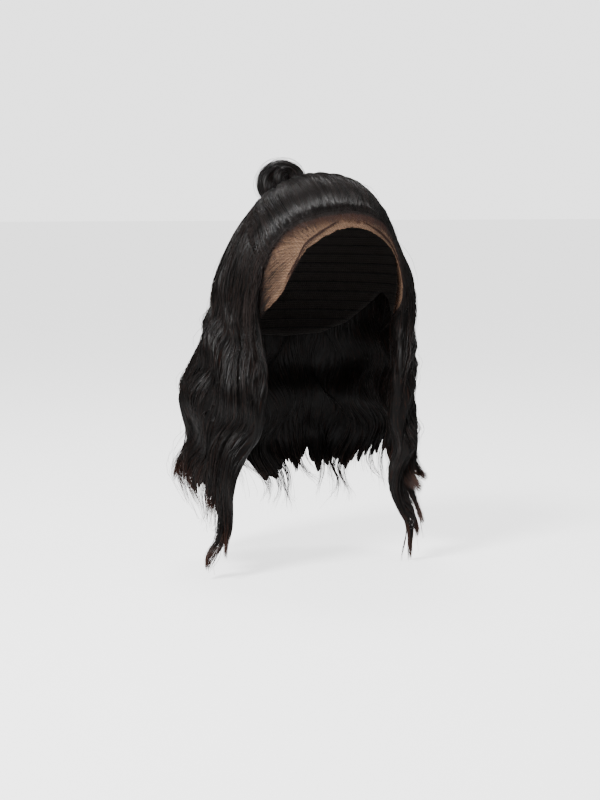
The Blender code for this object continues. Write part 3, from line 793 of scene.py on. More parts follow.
def new_group(name, inputs, outputs):
    """A node group with its named sockets, its nodes and what comes in."""
    group = bpy.data.node_groups.new(name, "ShaderNodeTree")
    for socket_name, kind, value in inputs:
        socket = group.interface.new_socket(socket_name, in_out="INPUT", socket_type=kind)
        if value is not None:
            socket.default_value = value
    for socket_name, kind in outputs:
        group.interface.new_socket(socket_name, in_out="OUTPUT", socket_type=kind)
    nodes = Nodes(group)
    return group, nodes, nodes.add("NodeGroupInput").outputs


def hair_grain_group():
    """Fine strands along the flow: a tone for the colour and a height for the bump."""
    group, nodes, source = new_group(
        "hair_grain",
        (("Flow", "NodeSocketVector", None), ("Strands", "NodeSocketFloat", 900.0)),
        (("Tone", "NodeSocketFloat"), ("Height", "NodeSocketFloat")),
    )
    stretched = nodes.vector("MULTIPLY", source["Flow"], GRAIN_STRETCH)
    fine = nodes.noise(stretched, source["Strands"], 3.0, 0.65)
    coarse = nodes.noise(stretched, nodes.math("MULTIPLY", source["Strands"], 0.22), 2.0)
    height = nodes.math("ADD", nodes.math("MULTIPLY", fine, 0.6), nodes.math("MULTIPLY", coarse, 0.9))
    nodes.add("NodeGroupOutput", {"Tone": nodes.between(fine, 0.35, 0.7), "Height": height})
    return group


def hair_colour_group():
    """Hair colour from root to tip, with lighter and browner strands among the black."""
    group, nodes, source = new_group(
        "hair_colour",
        (
            ("Along", "NodeSocketFloat", 0.0),
            ("Tone", "NodeSocketFloat", 0.5),
            ("Black", "NodeSocketColor", (0.005, 0.004, 0.0036, 1.0)),
            ("Brown", "NodeSocketColor", (0.05, 0.025, 0.015, 1.0)),
        ),
        (("Colour", "NodeSocketColor"),),
    )
    light = nodes.mix(0.22, source["Black"], source["Brown"])
    body = nodes.mix(nodes.between(source["Tone"], 0.55, 1.0), source["Black"], light)
    reach = nodes.math("ADD", source["Along"], nodes.math("MULTIPLY", source["Tone"], 0.10))
    tip = nodes.math("MULTIPLY", nodes.between(reach, 0.86, 1.08), 0.95)
    nodes.add("NodeGroupOutput", {"Colour": nodes.mix(tip, body, source["Brown"])})
    return group


def net_group():
    """Hexagon net: a mask that is 1 on the threads, from a flat place in metres."""
    group, nodes, source = new_group(
        "hexagon_net",
        (
            ("Flow", "NodeSocketVector", None),
            ("Mesh Size", "NodeSocketFloat", 0.0011),
            ("Thread", "NodeSocketFloat", 0.16),
        ),
        (("Mask", "NodeSocketFloat"), ("Height", "NodeSocketFloat")),
    )
    size = source["Mesh Size"]
    sizes = nodes.add("ShaderNodeCombineXYZ", {0: size, 1: size, 2: 1.0}).outputs[0]
    place = nodes.vector("ADD", nodes.vector("DIVIDE", source["Flow"], sizes), HEXAGON_START)
    edges = []
    for start in (place, nodes.vector("ADD", place, HEXAGON_HALF)):
        cell = nodes.vector("SUBTRACT", nodes.vector("MODULO", start, HEXAGON_PERIOD), HEXAGON_HALF)
        cell = nodes.vector("ABSOLUTE", nodes.vector("MULTIPLY", cell, (1.0, 1.0, 0.0)))
        slanted = nodes.vector("DOT_PRODUCT", cell, HEXAGON_HALF)
        upright = nodes.vector("DOT_PRODUCT", cell, (1.0, 0.0, 0.0))
        edges.append(nodes.math("MAXIMUM", slanted, upright))
    edge = nodes.math("SUBTRACT", 0.5, nodes.math("MINIMUM", edges[0], edges[1]))
    inside = nodes.math("SUBTRACT", 1.0, nodes.math("DIVIDE", edge, source["Thread"]))
    height = nodes.math("MAXIMUM", inside, 0.0)
    nodes.add("NodeGroupOutput", {"Mask": nodes.between(inside, 0.0, 0.35), "Height": height})
    return group


def new_material(name):
    material = bpy.data.materials.new(name)
    material.use_nodes = True
    return material, Nodes(material.node_tree), material.node_tree.nodes["Principled BSDF"]


def opaque(colour, share=1.0):
    return (*(share * value for value in colour), 1.0)


def hair_colour(nodes, tone, black, brown):
    values = {"Along": nodes.attribute("along"), "Tone": tone, "Black": black, "Brown": brown}
    return nodes.group("hair_colour", hair_colour_group, values).outputs["Colour"]


def mass_material(hair):
    """Hair masses: strand grain along the flow."""
    material, nodes, shader = new_material("hair_mass")
    flow = nodes.attribute("flow", "Vector")
    grain = nodes.group("hair_grain", hair_grain_group, {"Flow": flow, "Strands": GRAIN_STRANDS}).outputs
    nodes.feed(shader, {
        "Base Color": hair_colour(nodes, grain["Tone"], opaque(hair.colour), opaque(hair.tip_colour)),
        "Normal": nodes.bump(grain["Height"], 0.0006, 0.9),
        "Roughness": nodes.spread(grain["Tone"], *MASS_ROUGHNESS),
        "Specular IOR Level": MASS_SHINE,
    })
    return material


def strand_material(name, hair):
    """Single strands: tone by strand, browner to the tip."""
    material, nodes, shader = new_material(name)
    roughness, brown = STRAND_LOOKS[name]
    tone = nodes.attribute("tone")
    black = tuple((1.0 - brown) * a + brown * b for a, b in zip(hair.colour, hair.tip_colour))
    nodes.feed(shader, {
        "Base Color": hair_colour(nodes, tone, opaque(black), opaque(hair.tip_colour)),
        "Roughness": nodes.spread(tone, roughness - 0.05, roughness + 0.14),
        "Specular IOR Level": STRAND_SHINE,
    })
    return material


def lace_material(cap):
    """Sheer tan net, dark where the hair is knotted in."""
    material, nodes, shader = new_material("lace_net")
    flow = nodes.attribute("flow", "Vector")
    roots = nodes.attribute("roots")
    values = {"Flow": flow, "Mesh Size": LACE_MESH[0], "Thread": LACE_MESH[1]}
    net = nodes.group("hexagon_net", net_group, values).outputs
    dots = nodes.add("ShaderNodeTexVoronoi", {"Vector": flow, "Scale": KNOT_DOTS, "Randomness": 0.7})
    knots = nodes.between(dots.outputs["Distance"], 0.34, 0.20)
    shade = nodes.between(nodes.noise(flow, 90.0, 3.0), 0.3, 0.7)
    knotted = nodes.math("MULTIPLY", knots, nodes.between(roots, 0.25, 0.95))
    net_colour = nodes.mix(shade, opaque(cap.lace_colour), opaque(cap.lace_colour, 0.82))
    warm = nodes.mix(nodes.between(roots, 0.15, 0.95), net_colour, opaque(ROOT_BROWN))
    thread = nodes.math("ADD", nodes.math("MULTIPLY", net["Mask"], 0.72), 0.03)
    nodes.feed(shader, {
        "Base Color": nodes.mix(knotted, warm, opaque(cap.lace_colour, 0.22)),
        "Alpha": nodes.math("MAXIMUM", thread, nodes.math("MULTIPLY", knotted, 0.92)),
        "Normal": nodes.bump(net["Height"], 0.0002),
        "Roughness": 0.62,
        "Specular IOR Level": 0.3,
    })
    return material


def net_material(cap):
    """Dark stretch net with rows of sewn wefts."""
    material, nodes, shader = new_material("stretch_net")
    flow = nodes.attribute("flow", "Vector")
    values = {"Flow": flow, "Mesh Size": CAP_MESH[0], "Thread": CAP_MESH[1]}
    net = nodes.group("hexagon_net", net_group, values).outputs
    parts = nodes.add("ShaderNodeSeparateXYZ", {0: flow}).outputs
    rows = nodes.math("SINE", nodes.math("MULTIPLY", parts["Y"], FULL_TURN / WEFT_PITCH))
    weft = nodes.between(rows, 0.80, 1.0)
    stitch = nodes.math("SINE", nodes.math("MULTIPLY", parts["X"], FULL_TURN / STITCH_PITCH))
    sewn = nodes.math("MULTIPLY", weft, nodes.between(stitch, -0.2, 0.5))
    cloth = nodes.mix(net["Mask"], opaque(cap.net_colour), opaque(cap.net_colour, 2.2))
    height = nodes.math("ADD", nodes.math("MULTIPLY", weft, 1.4), nodes.math("ADD", net["Height"], sewn))
    nodes.feed(shader, {
        "Base Color": nodes.mix(weft, cloth, opaque(WEFT_COLOUR)),
        "Normal": nodes.bump(height, 0.0004),
        "Roughness": 0.72,
        "Specular IOR Level": 0.3,
    })
    return material


def elastic_material():
    """Black covered elastic with its fine wrap."""
    material, nodes, shader = new_material("covered_elastic")
    flow = nodes.add("ShaderNodeUVMap", uv_map="UVMap").outputs["UV"]
    parts = nodes.add("ShaderNodeSeparateXYZ", {0: flow}).outputs
    along = nodes.math("MULTIPLY", parts["X"], 420.0)
    slant = nodes.math("ADD", along, nodes.math("MULTIPLY", parts["Y"], 6.3))
    fuzz = nodes.between(nodes.noise(flow, 160.0, 3.0), 0.35, 0.7)
    nodes.feed(shader, {
        "Base Color": nodes.mix(fuzz, opaque(ELASTIC_DARK), opaque(ELASTIC_LIGHT)),
        "Normal": nodes.bump(nodes.math("SINE", slant), 0.0002),
        "Roughness": 0.7,
    })
    return material


def shared_material(name, make, *values):
    return bpy.data.materials.get(name) or make(*values)


def dress(piece, material, slot, *nodes):
    """Gives a finished piece its material and its body, and hides the nodes it stands for; the slot is not
    used.
    """
    piece.data.materials.clear()
    piece.data.materials.append(material)
    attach(piece, BODY)
    if nodes:
        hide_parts(*nodes)


def dress_mass(piece, hair, node):
    dress(piece, shared_material("hair_mass", mass_material, hair), "hair", node)


def dress_strands(piece, hair, look="hair_strand"):
    dress(piece, shared_material(look, strand_material, look, hair), "hair")


# Cap and lace

SEAM_BEYOND = 1.0
SEAM_UNDERLAP = 0.6
LACE_COLUMNS = 150
LACE_ROWS = 30
CAP_FRONT_STOPS = 34
CAP_BACK_STOPS = 40
CAP_STEP = 0.4
CAP_ROWS = 36
LACE_LIFT = 0.0002
WELD = 0.00002

# Where hair is knotted into the lace, in degrees: how far its roots reach beyond the hairline
ROOT_REACH = 13.0
ROOT_LAP = 1.0
ROOT_SIDE_SLOPE = 1.4
ROOT_SIDE = 4.0


def seam_polar(bearing):
    """Angle from the crown of the seam between the lace and the cap."""
    end = table_value(CAP_EDGE, LACE_END + SEAM_BEYOND)
    share = np.minimum(1.0, np.abs(bearing) / (LACE_END + SEAM_BEYOND))
    return SEAM_FRONT_POLAR + (end - SEAM_FRONT_POLAR) * share ** SEAM_POWER


def flat_flow(cap, bearing, polar, mirrored):
    """Place on the cloth in metres, from its place on the head in degrees."""
    radius = 0.5 * (cap.half_front + cap.half_width)
    round_head = np.radians(np.abs(bearing) if mirrored else bearing)
    tilt = np.radians(polar)
    return np.stack((radius * round_head * np.sin(tilt), radius * tilt, 0.0 * tilt), axis=-1)


def head_patch(name, cap, bearings, rows, polar_at, lift, wall, mirrored):
    """A grid shaped over the head form, welded, and given its wall."""
    columns = len(bearings) - 1
    bpy.ops.object.select_all(action="DESELECT")
    bpy.ops.mesh.primitive_grid_add(x_subdivisions=columns, y_subdivisions=rows, size=1.0)
    piece = bpy.context.object
    piece.name = name
    mesh = piece.data
    mesh.name = name
    if len(mesh.vertices) != (columns + 1) * (rows + 1):
        raise RuntimeError("the grid of %s has another number of points" % name)
    places = np.empty(len(mesh.vertices) * 3, dtype=np.float32)
    mesh.vertices.foreach_get("co", places)
    places = places.reshape(-1, 3)
    column = np.rint((places[:, 0] + 0.5) * columns).astype(int)
    row = np.rint((places[:, 1] + 0.5) * rows)
    bearing = np.asarray(bearings)[column]
    polar = polar_at(bearing, row / rows)
    shaped = head_points(cap, directions(bearing, polar), lift)
    mesh.vertices.foreach_set("co", shaped.astype(np.float32).ravel())
    set_attribute(piece, "flow", flat_flow(cap, bearing, polar, mirrored))
    at_side = ROOT_SIDE_SLOPE * (TEMPLE_BEARING - np.abs(bearing)) + ROOT_SIDE
    beyond = np.minimum(polar - table_value(HAIRLINE, np.abs(bearing)), at_side)
    set_attribute(piece, "roots", 1.0 - np.clip((beyond + ROOT_LAP) / ROOT_REACH, 0.0, 1.0))
    mesh.update()
    bpy.ops.object.mode_set(mode="EDIT")
    bpy.ops.mesh.select_all(action="SELECT")
    bpy.ops.mesh.remove_doubles(threshold=WELD)
    bpy.ops.mesh.normals_make_consistent(inside=False)
    bpy.ops.object.mode_set(mode="OBJECT")
    top = max(mesh.polygons, key=lambda face: face.center.z)
    if top.normal.z < 0.0:
        mesh.flip_normals()
    solidify = piece.modifiers.new("wall", "SOLIDIFY")
    solidify.thickness = wall
    solidify.offset = 1.0
    bpy.ops.object.modifier_apply(modifier=solidify.name)
    mesh.shade_smooth()
    return piece


def build_lace(wig):
    cap = wig.cap
    bearings = np.linspace(-LACE_END, LACE_END, LACE_COLUMNS + 1)

    def polar_at(bearing, share):
        seam = seam_polar(bearing)
        ragged = 0.35 * np.sin(0.9 * bearing) * np.sin(0.37 * bearing + 1.0)
        return seam + (table_value(CAP_EDGE, np.abs(bearing)) + ragged - seam) * share

    piece = head_patch("lace_panel", cap, bearings, LACE_ROWS, polar_at, LACE_LIFT, cap.lace_wall, False)
    dress(piece, shared_material("lace_net", lace_material, cap), "lace", "lace_front")


def build_cap(wig):
    cap = wig.cap
    front = np.linspace(0.0, LACE_END, CAP_FRONT_STOPS)
    half = np.concatenate((front, np.linspace(LACE_END + CAP_STEP, 180.0, CAP_BACK_STOPS)))
    bearings = np.concatenate((-half[::-1], half[1:]))

    def polar_at(bearing, share):
        seam = seam_polar(bearing) - SEAM_UNDERLAP
        edge = np.where(np.abs(bearing) <= LACE_END, seam, table_value(CAP_EDGE, np.abs(bearing)))
        return edge * share

    piece = head_patch("stretch_cap", cap, bearings, CAP_ROWS, polar_at, 0.0, cap.wall, True)
    dress(piece, shared_material("stretch_net", net_material, cap), "cap_net", "wig_cap")


# Swept crown hair

CROWN_COLUMNS = 210
CROWN_ROWS = 36
CROWN_ROW_POWER = 1.2
CROWN_STRANDS = 1520
CROWN_FLOW = 0.11
CROWN_ALONG = 0.35
STOPS = 12
SKIN = 0.0003
UNDERSIDE = -0.0002

# Swept strands: the share from the hairline, where they and the others start, their run, and
# their stray, height over the hair and dip at the ends
FROM_HAIRLINE = 0.62
HAIRLINE_START = (-0.012, 0.02)
CROWN_LATE = 0.50
CROWN_RUN = (0.50, 1.0)
CROWN_STRAND_STRAY = 0.006
OVER_HAIR = (0.0002, 0.0009)
CROWN_DIP = -0.0004
LAY_SHARE = 0.30
LAID_AT_HAIRLINE = 0.7


def full_grid(places, ways):
    """Two arrays of the same shape: the places down the columns and the ways along the rows."""
    return places[:, None] * np.ones((1, len(ways))), np.ones((len(places), 1)) * ways


def build_crown(wig):
    field = crown_field(wig)
    rows = np.linspace(0.0, 1.0, CROWN_ROWS + 1) ** CROWN_ROW_POWER
    places, ways = full_grid(np.linspace(-CROWN_LAP, CROWN_LAP, CROWN_COLUMNS + 1), rows)
    share, lift = crown_relief(places, ways)
    outer = field.points(places, ways, share, lift + SKIN)
    inner = field.points(places, ways, 0.0, UNDERSIDE)
    flow = np.stack((places * CROWN_FLOW, ways * field.length, 0.0 * ways), axis=-1)
    dress_mass(hair_sheet("swept_hair", outer, inner, flow, CROWN_ALONG * ways), wig.hair, "crown_hair")
    dress_strands(crown_strands(wig, field, np.random.default_rng(wig.seed + 1)), wig.hair)


def crown_strands(wig, field, random):
    draw = Draws(random, CROWN_STRANDS)
    t = stops_along(STOPS)
    q = draw.spread(-CROWN_LAP, CROWN_LAP)
    from_hairline = draw.even(0.0, 1.0) < FROM_HAIRLINE
    late = draw.even(0.0, CROWN_LATE)
    start = np.where(from_hairline, draw.even(*HAIRLINE_START), late)
    end = np.minimum(1.0, start + draw.even(*CROWN_RUN))
    way = start + (end - start) * t
    phase = draw.even(0.0, FULL_TURN)
    aside = draw.bell(CROWN_STRAND_STRAY) * np.sin(math.pi * way + phase)
    place = np.clip(q + crown_wander(q, way) + aside, -CROWN_LAP, CROWN_LAP)
    share, lift = crown_relief(place, way)
    begun = smooth(t / LAY_SHARE)
    laid = np.where(from_hairline, np.maximum(begun, LAID_AT_HAIRLINE), begun) * smooth((1.0 - t) / LAY_SHARE)
    over = draw.even(*OVER_HAIR) * laid
    dip = CROWN_DIP * (1.0 - laid) * np.where(from_hairline & (t < 0.5), 0.0, 1.0)
    paths = field.points(place, np.maximum(way, 0.0), share, lift + over + dip + SKIN)
    return strand_tubes("swept_strands", paths, wig.hair.strand_width, CROWN_ALONG * way, random)


# Loose falls

FALL_ROWS = 58
FALL_FLOW = 0.07
CLUMPS_PER_GUIDE = 10
CLUMP_SEED = 101
EDGE_ROUND = 0.26
EDGE_MIDDLE = 0.45

# The mass thins over its last part, to this share of its bulk
THIN_FROM = 0.80
THIN_LOSS = 0.95

# Ends of hair that leave the falls and curl outward
# Columns: place in guides, start and run as shares of the length, outward, aside, strands
CURLED_ENDS = (
    (0.12, 0.76, 0.17, 0.002, -0.014, 90),
    (0.30, 0.86, 0.18, 0.002, -0.011, 170),
    (0.62, 0.74, 0.15, 0.002, -0.006, 80),
    (1.60, 0.76, 0.14, 0.010, -0.010, 90),
    (6.70, 0.74, 0.14, 0.014, 0.008, 90),
    (7.15, 0.72, 0.17, 0.020, 0.004, 180),
    (7.32, 0.80, 0.17, 0.011, 0.004, 120),
    (7.45, 0.66, 0.19, 0.026, 0.004, 210),
    (7.58, 0.79, 0.19, 0.007, -0.002, 160),
    (7.78, 0.84, 0.14, 0.004, 0.008, 90),
)
CURL_LEAVE = 1.7
CURL_BACK = 0.22
CURL_SPREAD = 0.075
CURL_GATHER = 0.75
CURL_DEPTH = 0.6
CURL_WIDTH = 0.9
CURL_ALONG = (0.72, 0.30)

# How much a place belongs to the hem at the back
# Columns: place in guides, 0 at the front locks and 1 at the back
BACK_HEM = ((0.0, 0.0), (2.0, 0.0), (2.7, 1.0), (5.3, 1.0), (6.0, 0.0), (8.0, 0.0))

# Hem of the falls, in front and at the back: spread of the strands' ends, end and notches
# of the mass, as shares of the length, the share of the strands that run to the tips, and how
# uneven and how warped the notches are
FRINGE = (0.20, 0.24)
MASS_END = (0.85, 0.845)
MASS_NOTCH = (0.05, 0.055)
TIP_STRANDS = (0.46, 0.72)
NOTCH_UNEVEN = (0.0, 0.80)
NOTCH_WARP = (0.0, 0.75)
NOTCH_SHARPNESS = 0.8

# Strands of the falls: where they start and how long they run, as shares of the length
ROOT_STRANDS_SHARE = 0.14
STRAND_START = (0.02, 0.66)
TIP_START = (0.50, 0.78)
STRAND_RUN = (0.22, 0.42)
STRAND_LAST = 0.98
FALL_INSET = 0.004
FALL_LAP = 0.05
EDGE_DEPTH = 0.24
EDGE_SHARE = 0.20
FRINGE_POWER = 1.6

# Their tips: where they hook, gather and thin, and how far the hooks and curls go
TIP_FROM = 0.86
HOOK_BACK = 0.030
HOOK_OUT = 0.0045
CURL_ASIDE = 0.0075
TIP_SCATTER = 0.0030
GATHER_FROM = 0.72
GATHERED = 0.32
STRAND_THIN = (0.70, 0.96)
THINNED = 0.8

# Their height over the mass and their own small wave
INSIDE_SHARE = 0.15
CLUMP_DOME = 0.0006
STRAND_WAVE = 0.0006
STRAND_WAVE_ASIDE = 0.0012
END_DIP = 0.0008
STRAND_STRAY = 0.010
STRAND_STRAY_TURNS = 1.4
SWELL_FULL = 0.3
ANY_PHASE = 6.3


def hem_value(front_and_back, place):
    front, back = front_and_back
    return front + (back - front) * table_value(BACK_HEM, place)


def edge_round(field, place):
    """1 over the middle of the hair and 0 at its two front edges, as a quarter round."""
    inset = np.minimum(place - field.first, field.last - place) / EDGE_ROUND
    return np.sqrt(np.clip(1.0 - (1.0 - np.clip(inset, 0.0, 1.0)) ** 2, 0.0, 1.0))


def fall_faces(field, place, way):
    """Shares of the bulk at the outer and inner faces, and the outer face's added lift."""
    share, lift = fall_relief(place, way)
    rounded = edge_round(field, place)
    return EDGE_MIDDLE + (share - EDGE_MIDDLE) * rounded, EDGE_MIDDLE * (1.0 - rounded), lift * rounded


def lock_drift(field, place, way):
    return lock_wave(place, way)[1] * edge_round(field, place)


def build_falls(wig):
    field = fall_field(wig)
    random = np.random.default_rng(wig.seed + 3)
    for values in FALLS:
        row = dict(zip(FALL_COLUMNS, values))
        dress_mass(fall_mass(field, row), wig.hair, row["node"])
        dress_strands(fall_strands(wig, field, row, random), wig.hair)


def fall_mass(field, row):
    columns = np.linspace(row["first"], row["last"], row["columns"] + 1)
    places, shares = full_grid(columns, np.linspace(0.0, 1.0, FALL_ROWS + 1))
    strayed = places - fall_wander(places, shares)
    warped = strayed * CLUMPS_PER_GUIDE + hem_value(NOTCH_WARP, places) * np.sin(6.1 * strayed)
    uneven = 1.0 - hem_value(NOTCH_UNEVEN, places) * ridges(1.37 * strayed + 0.2, 1.0)
    notches = hem_value(MASS_NOTCH, places) * uneven * ridges(warped, NOTCH_SHARPNESS)
    ways = shares * hair_reach(places) * (hem_value(MASS_END, places) + notches)
    outer_share, inner_share, lift = fall_faces(field, places, ways)
    drift = lock_drift(field, places, ways)
    thin = 1.0 - THIN_LOSS * ramp(shares, THIN_FROM, 1.0)
    middle = 0.5 * (outer_share + inner_share)
    outer_share = middle + (outer_share - middle) * thin
    inner_share = middle + (inner_share - middle) * thin
    outer = field.points(places, ways, outer_share, lift * thin + SKIN, drift)
    under = -woven_ridges(INNER_GRAIN, strayed, places, ways) * thin
    inner = field.points(places, ways, inner_share, under, drift)
    flow = np.stack((places * FALL_FLOW, ways * field.length, 0.0 * ways), axis=-1)
    return hair_sheet(row["node"] + "_mass", outer, inner, flow, ways)


def curled_ends(wig, field, random):
    """Ends of hair that leave the falls and curl outward in small hooked wisps."""
    t = stops_along(STOPS)
    table = np.repeat(np.array(CURLED_ENDS), [row[-1] for row in CURLED_ENDS], axis=0)
    draw = Draws(random, len(table))
    place, start, run, out, aside = (table[:, column:column + 1] for column in range(5))
    travel = 1.0 - draw.even(0.5, 1.9) * (1.0 - t)
    loose = np.clip(travel, 0.0, 1.0)
    leaves = draw.even(0.85, 1.05) * loose ** CURL_LEAVE
    way = start + run * (travel - CURL_BACK * loose ** 3) - draw.even(0.0, 0.02) * loose
    place = place + draw.bell(CURL_SPREAD) * (1.0 - CURL_GATHER * loose)
    place = np.clip(place + fall_wander(place, way), field.first, field.last)
    outer, inner, lift = fall_faces(field, place, way)
    depth = draw.even(0.2, 1.0) * (1.0 - loose) + CURL_DEPTH * loose
    rise = lift * depth + CLUMP_DOME + out * leaves + draw.bell(0.0010) * loose
    drift = aside * leaves + draw.bell(0.0012) * loose + lock_drift(field, place, way)
    paths = field.points(place, way, inner + (outer - inner) * depth, rise, drift)
    along = CURL_ALONG[0] + CURL_ALONG[1] * loose
    return strand_tubes("curled_ends", paths, CURL_WIDTH * wig.hair.strand_width, along, random)


class Clumps:
    """Wisps that the strands of the falls gather into, each with its own wave, curl and length."""

    def __init__(self, random):
        self.count = int(LAST_GUIDE * CLUMPS_PER_GUIDE)
        self.phase = random.uniform(0.0, FULL_TURN, self.count)
        self.reach = random.uniform(0.91, 1.03, self.count)
        self.curl = random.normal(0.0, 1.0, self.count)
        self.hook = random.normal(0.0, 1.0, self.count)
        self.rise = random.uniform(-0.0004, 0.0008, self.count)


def fall_strands(wig, field, row, random):
    hair = wig.hair
    draw = Draws(random, row["strands"])
    clumps = Clumps(np.random.default_rng(wig.seed + CLUMP_SEED))
    t = stops_along(STOPS)
    q = draw.spread(row["first"] + FALL_INSET, row["last"] - FALL_INSET)
    near_edge = draw.even(0.0, EDGE_DEPTH)
    moved = draw.even(0.0, 1.0) < EDGE_SHARE
    if row["first"] == field.first:
        q = np.where(moved, field.first + near_edge, q)
    if row["last"] == field.last:
        q = np.where(moved, field.last - near_edge, q)
    clump = np.clip((q * CLUMPS_PER_GUIDE).astype(int), 0, clumps.count - 1)
    centre = (clump + 0.5) / CLUMPS_PER_GUIDE
    within = (q - centre) * 2.0 * CLUMPS_PER_GUIDE
    kind = draw.even(0.0, 1.0)
    to_tips = hem_value(TIP_STRANDS, q)
    to_tip = kind < to_tips
    from_root = (kind >= to_tips) & (kind < to_tips + ROOT_STRANDS_SHARE)
    start = draw.even(*STRAND_START)
    start = np.where(to_tip, draw.even(*TIP_START), start)
    start = np.where(from_root, 0.0, start)
    end = np.minimum(STRAND_LAST, start + draw.even(*STRAND_RUN))
    short = hem_value(FRINGE, q) * draw.even(0.0, 1.0) ** FRINGE_POWER
    end = np.where(to_tip, 1.0 - short, end)
    down = start + (end - start) * t
    tip = ramp(down, TIP_FROM, 1.0) ** 2
    hooked = HOOK_BACK * np.abs(clumps.hook[clump]) * draw.even(0.0, 1.4) * tip ** 1.5
    way = np.minimum(down * hair_reach(centre) * clumps.reach[clump], 1.0) - hooked
    gather = 1.0 - GATHERED * ramp(down, GATHER_FROM, 1.0)
    aside = draw.bell(STRAND_STRAY)
    aside = aside * np.sin(FULL_TURN * STRAND_STRAY_TURNS * way + draw.even(0.0, ANY_PHASE))
    place = centre + 0.5 * within * gather / CLUMPS_PER_GUIDE + aside
    place = np.clip(place + fall_wander(place, way), row["first"] - FALL_LAP, row["last"] + FALL_LAP)
    place = np.clip(place, field.first, field.last)
    outer, inner, lift = fall_faces(field, place, way)
    swell = smooth(way / SWELL_FULL)
    turns = FULL_TURN * way * field.length / hair.wave_length + clumps.phase[clump]
    dome = CLUMP_DOME * (1.0 - within ** 2) * swell
    over = draw.even(*OVER_HAIR) + clumps.rise[clump]
    ends = np.where(to_tip, np.minimum(1.0, 8.0 * t), np.sin(math.pi * t) ** 0.5)
    depth = np.where(draw.even(0.0, 1.0) < INSIDE_SHARE, 0.0, 1.0)
    at_edge = (q < field.first + EDGE_DEPTH) | (q > field.last - EDGE_DEPTH)
    depth = np.where(at_edge, draw.even(0.0, 1.0), depth)
    thin = ramp(down, *STRAND_THIN)
    settled = draw.even(0.25, 0.75)
    share = inner + (outer - inner) * (depth + (settled - depth) * thin)
    raised = (over + dome + STRAND_WAVE * swell * np.sin(turns)) * ends - END_DIP * (1.0 - ends)
    raised = raised * (2.0 * depth - 1.0) * (1.0 - THINNED * thin)
    raised = raised + lift * depth * (1.0 - THINNED * thin) + HOOK_OUT * clumps.hook[clump] * tip
    drift = lock_drift(field, place, way) + STRAND_WAVE_ASIDE * swell * np.cos(turns)
    drift = drift + CURL_ASIDE * clumps.curl[clump] * tip + draw.bell(TIP_SCATTER) * tip
    paths = field.points(place, way, share, raised, drift)
    return strand_tubes(row["node"] + "_strands", paths, hair.strand_width, down, random, "fall_strands")


# Knot: ropes of hair in its own frame, to the wearer's left, back down the head and up off it

LOOP_HALF_TURN = 176.0
LOOP_PINCH_START = 100.0
LOOP_PINCH = 0.48
LOOP_LEAN = 0.30
LOOP_TWIST = 0.0035
COIL_START = -200.0
COIL_END = 130.0
COIL_SIDE = 0.45
COIL_RISE = 0.12
COIL_SHIFT = 0.60
KNOT_RISE = 0.75
KNOT_CORE = 0.80
CORE_START = -0.5
CORE_LENGTH = 1.1
STEM_LEAN = 0.4
STEM_FLARE = 0.0016
ROPE_END = 0.55
ROPE_END_SHARE = 0.10
GAP = 0.0003
ROPE_RINGS = 50
ROPE_SIDES = 40
ROPE_AXIS = (0.31, 0.93, 0.17)

# Skin of a rope: shares of its radius for the body, the grooves and the fine ridges
ROPE_BODY = 0.88
ROPE_GROOVES = 0.10
ROPE_FINE = 0.02
ROPE_FLOW = 0.1
KNOT_ALONG = 0.4
KNOT_STRANDS = 210
KNOT_STRAND_WIDTH = 0.8
KNOT_START = (-0.05, 0.75)
KNOT_RUN = (0.15, 0.4)
KNOT_OVER = (0.0001, 0.0009)
KNOT_STRAY = 0.0035
KNOT_STRAY_POWER = 7
KNOT_DIP = 0.0001
TIE_SEGMENTS = 72
TIE_SIDES = 14


def knot_frame(wig):
    gather = directions(GATHER_BEARING, GATHER_POLAR)
    off = Vector(head_normals(wig.cap, gather))
    left = Vector((1.0, 0.0, 0.0))
    axes = Matrix((left, off.cross(left), off)).transposed().to_4x4()
    axes.translation = Vector(head_points(wig.cap, gather, 0.0))
    return np.array(axes)


def knot_levels(wig):
    """Heights off the head form: the top of the hair, the tie, and the middle of the loop."""
    knot = wig.knot
    hair_top = wig.hair.lift + wig.hair.crown_thickness * SWEEP_BULK[-1][1]
    tie = hair_top + knot.tie_wire + 2.0 * GAP
    return hair_top, tie, tie + knot.tie_wire + knot.rope + KNOT_RISE * knot.radius


def loop_path(wig, turns):
    knot = wig.knot
    angle = np.radians(turns)
    drawn_in = ramp(np.abs(turns), LOOP_PINCH_START, LOOP_HALF_TURN)
    radius = knot.radius * (1.0 - LOOP_PINCH * drawn_in)
    rise = radius * np.cos(angle)
    side = knot.side_shift + radius * np.sin(angle)
    back = -LOOP_LEAN * rise - LOOP_TWIST * np.sin(angle)
    return np.stack((side, back, knot_levels(wig)[2] + rise), axis=-1)


def coil_path(wig, turns, face):
    knot = wig.knot
    angle = np.radians(turns)
    rise = knot.coil_radius * np.cos(angle)
    side = COIL_SIDE * knot.side_shift + knot.coil_radius * np.sin(angle)
    back = -LOOP_LEAN * rise + face * COIL_SHIFT * knot.rope
    return np.stack((side, back, knot_levels(wig)[2] + COIL_RISE * knot.radius + rise), axis=-1)


def stem_heights(wig, shares):
    foot = wig.cap.wall + GAP
    return foot + (knot_levels(wig)[2] - foot) * shares


def stem_path(wig, shares):
    levels = knot_levels(wig)
    height = stem_heights(wig, shares)
    side = STEM_LEAN * wig.knot.side_shift * ramp(height, levels[1], levels[2])
    return np.stack((side, 0.0 * side, height), axis=-1)


def stem_radii(wig, shares):
    """Radius of the stem: flared where the hair gathers, drawn in under the tie."""
    levels = knot_levels(wig)
    return wig.knot.stem_radius + STEM_FLARE * (1.0 - ramp(stem_heights(wig, shares), levels[0], levels[1]))


